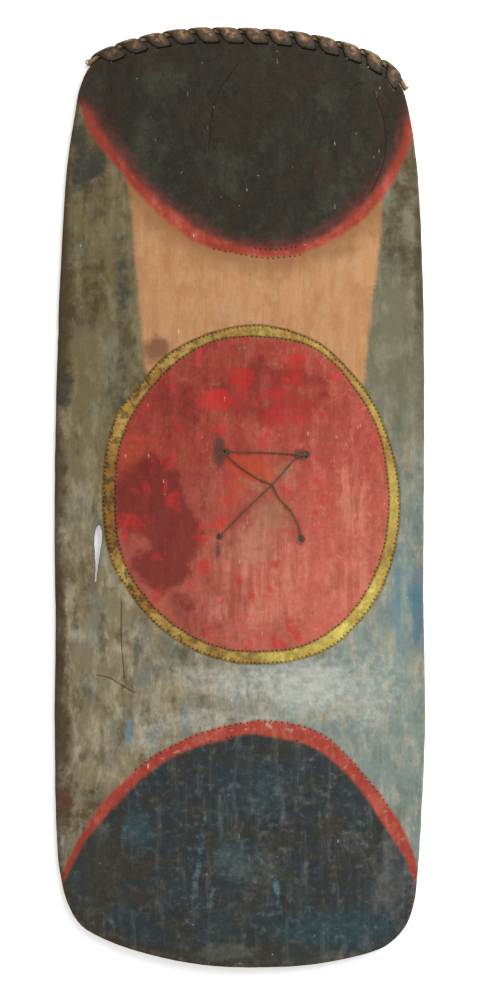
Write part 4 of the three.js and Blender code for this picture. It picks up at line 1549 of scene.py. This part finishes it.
    def stray_fibres(self, heap, wood, rim):
        """Hair-thin fibres that stand out from the strip's outer side, each a short arc."""
        chance = np.random.default_rng(63)
        share = np.linspace(0, 1, 12)
        for along in self.HAIRS:
            reach = chance.uniform(3.0, 7.5) * MM
            lean = chance.uniform(-5, 5) * MM
            rise = chance.uniform(-2, 3) * MM
            outward = rim.clearance + rim.bundle_height + reach * share
            path = wood.beside_rim(
                along * wood.rim_run[-1] + lean * share ** 2, outward, rise + 1.5 * MM * share,
            )
            heap.rod(path, 0.32 * MM * (1 - 0.6 * share), 5, tint=chance.uniform(0, 1), edge=0.5)


# The carrying cord

class SHIELD_OT_cord(bpy.types.Operator):
    """Make the two-ply twine that is laced through the four holes, with its knots"""
    bl_idname = "shield.cord"
    bl_label = "Carrying cord"

    # Distance between the rings of the twine
    STEP = 0.8 * MM

    def execute(self, context):
        settings = context.scene.shield
        wood = Wood(settings.board)
        cord = settings.cord
        clearance = settings.rim.clearance
        heap = Heap()
        route = self.route(wood, cord, clearance)
        self.twine(heap, spline(route, 30), cord.diameter / 2, cord.lay)
        knots = (
            (self.on_face(wood, TOP_KNOT, cord.knot_radius + clearance), cord.knot_radius, 1.1),
            (self.on_face(wood, MEND_KNOT, cord.mend_radius + clearance), cord.mend_radius, 0.4),
            (route[-1], cord.knot_radius, 2.0),
        )
        for place, radius, turned in knots:
            self.knot(heap, np.asarray(place), radius, turned, cord)
        heap.piece("carrying_twine", cord_finish(settings.fibres), "bark_cord", "carrying_cord")
        return {"FINISHED"}

    def on_face(self, wood, place, lift):
        """Place in metres, so far above the face, of one in millimetres from the board's middle."""
        right, up = wood.from_middle(place)
        return (right, up, wood.face(right) + lift)

    def on_back(self, wood, place, lift):
        right, up = wood.from_middle(place)
        return (right, up, wood.back(right) - lift)

    def route(self, wood, cord, clearance):
        """Points of the cord: from the knot at the upper right along the top, down the back, twice across
        the face, and to the knot behind the upper left hole. The places below are in millimetres."""
        radius = cord.diameter / 2
        spacing = cord.diameter + cord.strand_air
        hole_radius = (spacing + cord.diameter) / 2 + cord.hole_room
        over_crossing = cord.diameter + 2 * clearance
        upper_strand = (spacing * 0.12, spacing * 0.42)
        lower_strand = (-spacing * 0.36, -spacing * 0.36)

        def face(place, lift=0.0):
            return self.on_face(wood, place, clearance + radius + lift)

        def back(place, lift=0.0):
            return self.on_back(wood, place, clearance + radius + lift)

        def through(hole, come_from, go_to, aside=(0, 0)):
            """Down a hole, from the face to the back, a little aside from its middle."""
            place = np.array(hole) + np.array(aside) / MM
            reach = (hole_radius + 1.5 * radius) / MM
            entry = place + reach * unit(np.array(come_from) - place)
            leave = place + reach * unit(np.array(go_to) - place)
            right, up = wood.from_middle(place)
            sunk = 2 * radius
            return [
                face(entry, 3 * clearance), (right, up, wood.face(right) - sunk),
                (right, up, wood.back(right) + sunk), back(leave, 3 * clearance),
            ]

        return np.array([
            face((TOP_KNOT[0] - 2.5, TOP_KNOT[1] + 2.5), 1 * MM),
            face((37, 80.5)),
            *through(UPPER_LEFT, TOP_KNOT, BEHIND_LEFT, upper_strand),
            back(BEHIND_LEFT), back((-41, 60)), back((-38, 0)),
            *through(LOWER_LEFT, CROSSING, (-37, 0))[::-1],
            face((0, -24)),
            face((CROSSING[0] - 14, CROSSING[1] - 13), 1 * MM),
            face(CROSSING, over_crossing),
            face((CROSSING[0] + 13, CROSSING[1] + 14), 1 * MM),
            face(TOP_KNOT, cord.knot_radius - radius),
            *through(UPPER_RIGHT, TOP_KNOT, LOWER_RIGHT),
            back((106, 5)),
            *through(LOWER_RIGHT, SLACK_START, UPPER_RIGHT)[::-1],
            face(SLACK_START, 1.5 * MM), face((86, -19), 1.5 * MM), face((65, 5), 0.8 * MM),
            face(CROSSING), face((32, 36)), face(SLACK_END),
            *through(UPPER_LEFT, SLACK_END, END_KNOT, lower_strand)[:-1],
            back(END_KNOT, cord.knot_radius - radius),
        ])

    def twine(self, heap, curve, radius, lay):
        """Two-ply twine: the section of two plies side by side, turned once in each lay.

        The distance to the far side of the nearer ply, whose middle lies 0.4 of the radius off and whose
        own radius is 0.6, is 0.4 |cos| + sqrt(0.36 - 0.16 sin^2) of the angle from the plies' line.
        """
        path = spaced(curve, self.STEP)
        run = np.arange(len(path)) * self.STEP
        angle = full_turn(14) - 2 * math.pi * run[:, None] / lay
        lobes = 0.4 * np.abs(np.cos(angle)) + np.sqrt(0.36 - 0.16 * np.sin(angle) ** 2)
        ends = np.minimum(1, 0.5 + np.minimum(run, run[::-1]) / (1.5 * MM))
        # The rise of the section, which the finish turns into painted shade between the plies
        marks = {"along": run[:, None], "ply": np.abs(np.cos(angle)) * 3, "rise": (lobes - 0.45) / 0.55}
        marks = {name: capped(values, angle.shape) for name, values in marks.items()}
        heap.add(*tube(path, radius * lobes * ends[:, None]), **marks)

    def knot(self, heap, middle, radius, turned, cord):
        """An overhand knot drawn tight: the trefoil (2 + cos 3t) round a ring while it turns twice."""
        turn = 2 * math.pi * np.linspace(0.01, 0.99, 90)
        strand = min(cord.diameter / 2, 0.42 * radius) * 0.9
        scale = (radius - strand) / 3
        reach = 2 + np.cos(3 * turn)
        path = scale * np.stack([
            reach * np.cos(2 * turn + turned), reach * np.sin(2 * turn + turned), 0.9 * np.sin(3 * turn),
        ], axis=1)
        self.twine(heap, middle + path, strand, cord.lay * 0.7)


# Floor, light and camera

class SHIELD_OT_stage(bpy.types.Operator):
    """Make the pale floor, the soft light and the camera that looks straight down"""
    bl_idname = "shield.stage"
    bl_label = "Stage"

    LIGHT_PLACE = (1.9, 1.7, 2.6)
    LIGHT_TURN = (-33, 36, 0)

    def execute(self, context):
        scene = context.scene
        stage = scene.shield.stage
        half = stage.floor_size / 2
        mesh = bpy.data.meshes.new("floor")
        corners = [(-half, -half, 0), (half, -half, 0), (half, half, 0), (-half, half, 0)]
        mesh.from_pydata(corners, [], [(0, 1, 2, 3)])
        mesh.materials.append(floor_finish(stage))
        floor = bpy.data.objects.new("floor", mesh)
        scene.collection.objects.link(floor)

        lamp = bpy.data.lights.new("soft_light", "AREA")
        lamp.shape = "SQUARE"
        lamp.size = stage.light_size
        lamp.energy = stage.light_power
        light = bpy.data.objects.new("soft_light", lamp)
        light.location = self.LIGHT_PLACE
        light.rotation_euler = [math.radians(degrees) for degrees in self.LIGHT_TURN]
        scene.collection.objects.link(light)

        world = bpy.data.worlds.new("sky")
        world.use_nodes = True
        background = world.node_tree.nodes["Background"]
        background.inputs["Color"].default_value = (1, 1, 1, 1)
        background.inputs["Strength"].default_value = stage.sky
        scene.world = world
        scene.view_settings.view_transform = "Standard"

        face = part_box("board")[1].z
        lens = bpy.data.cameras.new("camera")
        lens.sensor_width = 36
        lens.lens = lens.sensor_width * stage.camera_height / (PHOTO_SIZE[1] * PHOTO_SCALE)
        camera = bpy.data.objects.new("camera", lens)
        aim = photo_place((PHOTO_SIZE[0] / 2, PHOTO_SIZE[1] / 2))
        camera.location = (aim[0], aim[1], face + stage.camera_height)
        scene.collection.objects.link(camera)
        scene.camera = camera
        return {"FINISHED"}


class SHIELD_PT_panel(bpy.types.Panel):
    """The shield's sizes, colours and makers"""
    bl_idname = "SHIELD_PT_panel"
    bl_label = "Wooden War Shield"
    bl_space_type = "VIEW_3D"
    bl_region_type = "UI"
    bl_category = "Shield"

    def draw(self, context):
        layout = self.layout
        for maker in MAKERS:
            layout.operator(maker.bl_idname)
        for name in SHIELD_PG_settings.__annotations__:
            part = getattr(context.scene.shield, name)
            box = layout.box()
            box.label(text=name.title())
            for setting in part.__annotations__:
                box.prop(part, setting)


MAKERS = (SHIELD_OT_stage, SHIELD_OT_cord, SHIELD_OT_board, SHIELD_OT_bundle, SHIELD_OT_strip)
CLASSES = (
    SHIELD_PG_board, SHIELD_PG_rim, SHIELD_PG_cord, SHIELD_PG_paint, SHIELD_PG_fibres, SHIELD_PG_stage,
    SHIELD_PG_settings, *MAKERS, SHIELD_PT_panel,
)


def register():
    for item in CLASSES:
        bpy.utils.register_class(item)
    bpy.types.Scene.shield = group(SHIELD_PG_settings, "Shield", "Settings of the war shield")


def unregister():
    del bpy.types.Scene.shield
    for item in reversed(CLASSES):
        bpy.utils.unregister_class(item)


def main():
    register()
    bpy.ops.shield.stage()
    bpy.ops.shield.cord()
    bpy.ops.shield.board()
    bpy.ops.shield.bundle()
    bpy.ops.shield.strip()


if __name__ == "__main__":
    main()
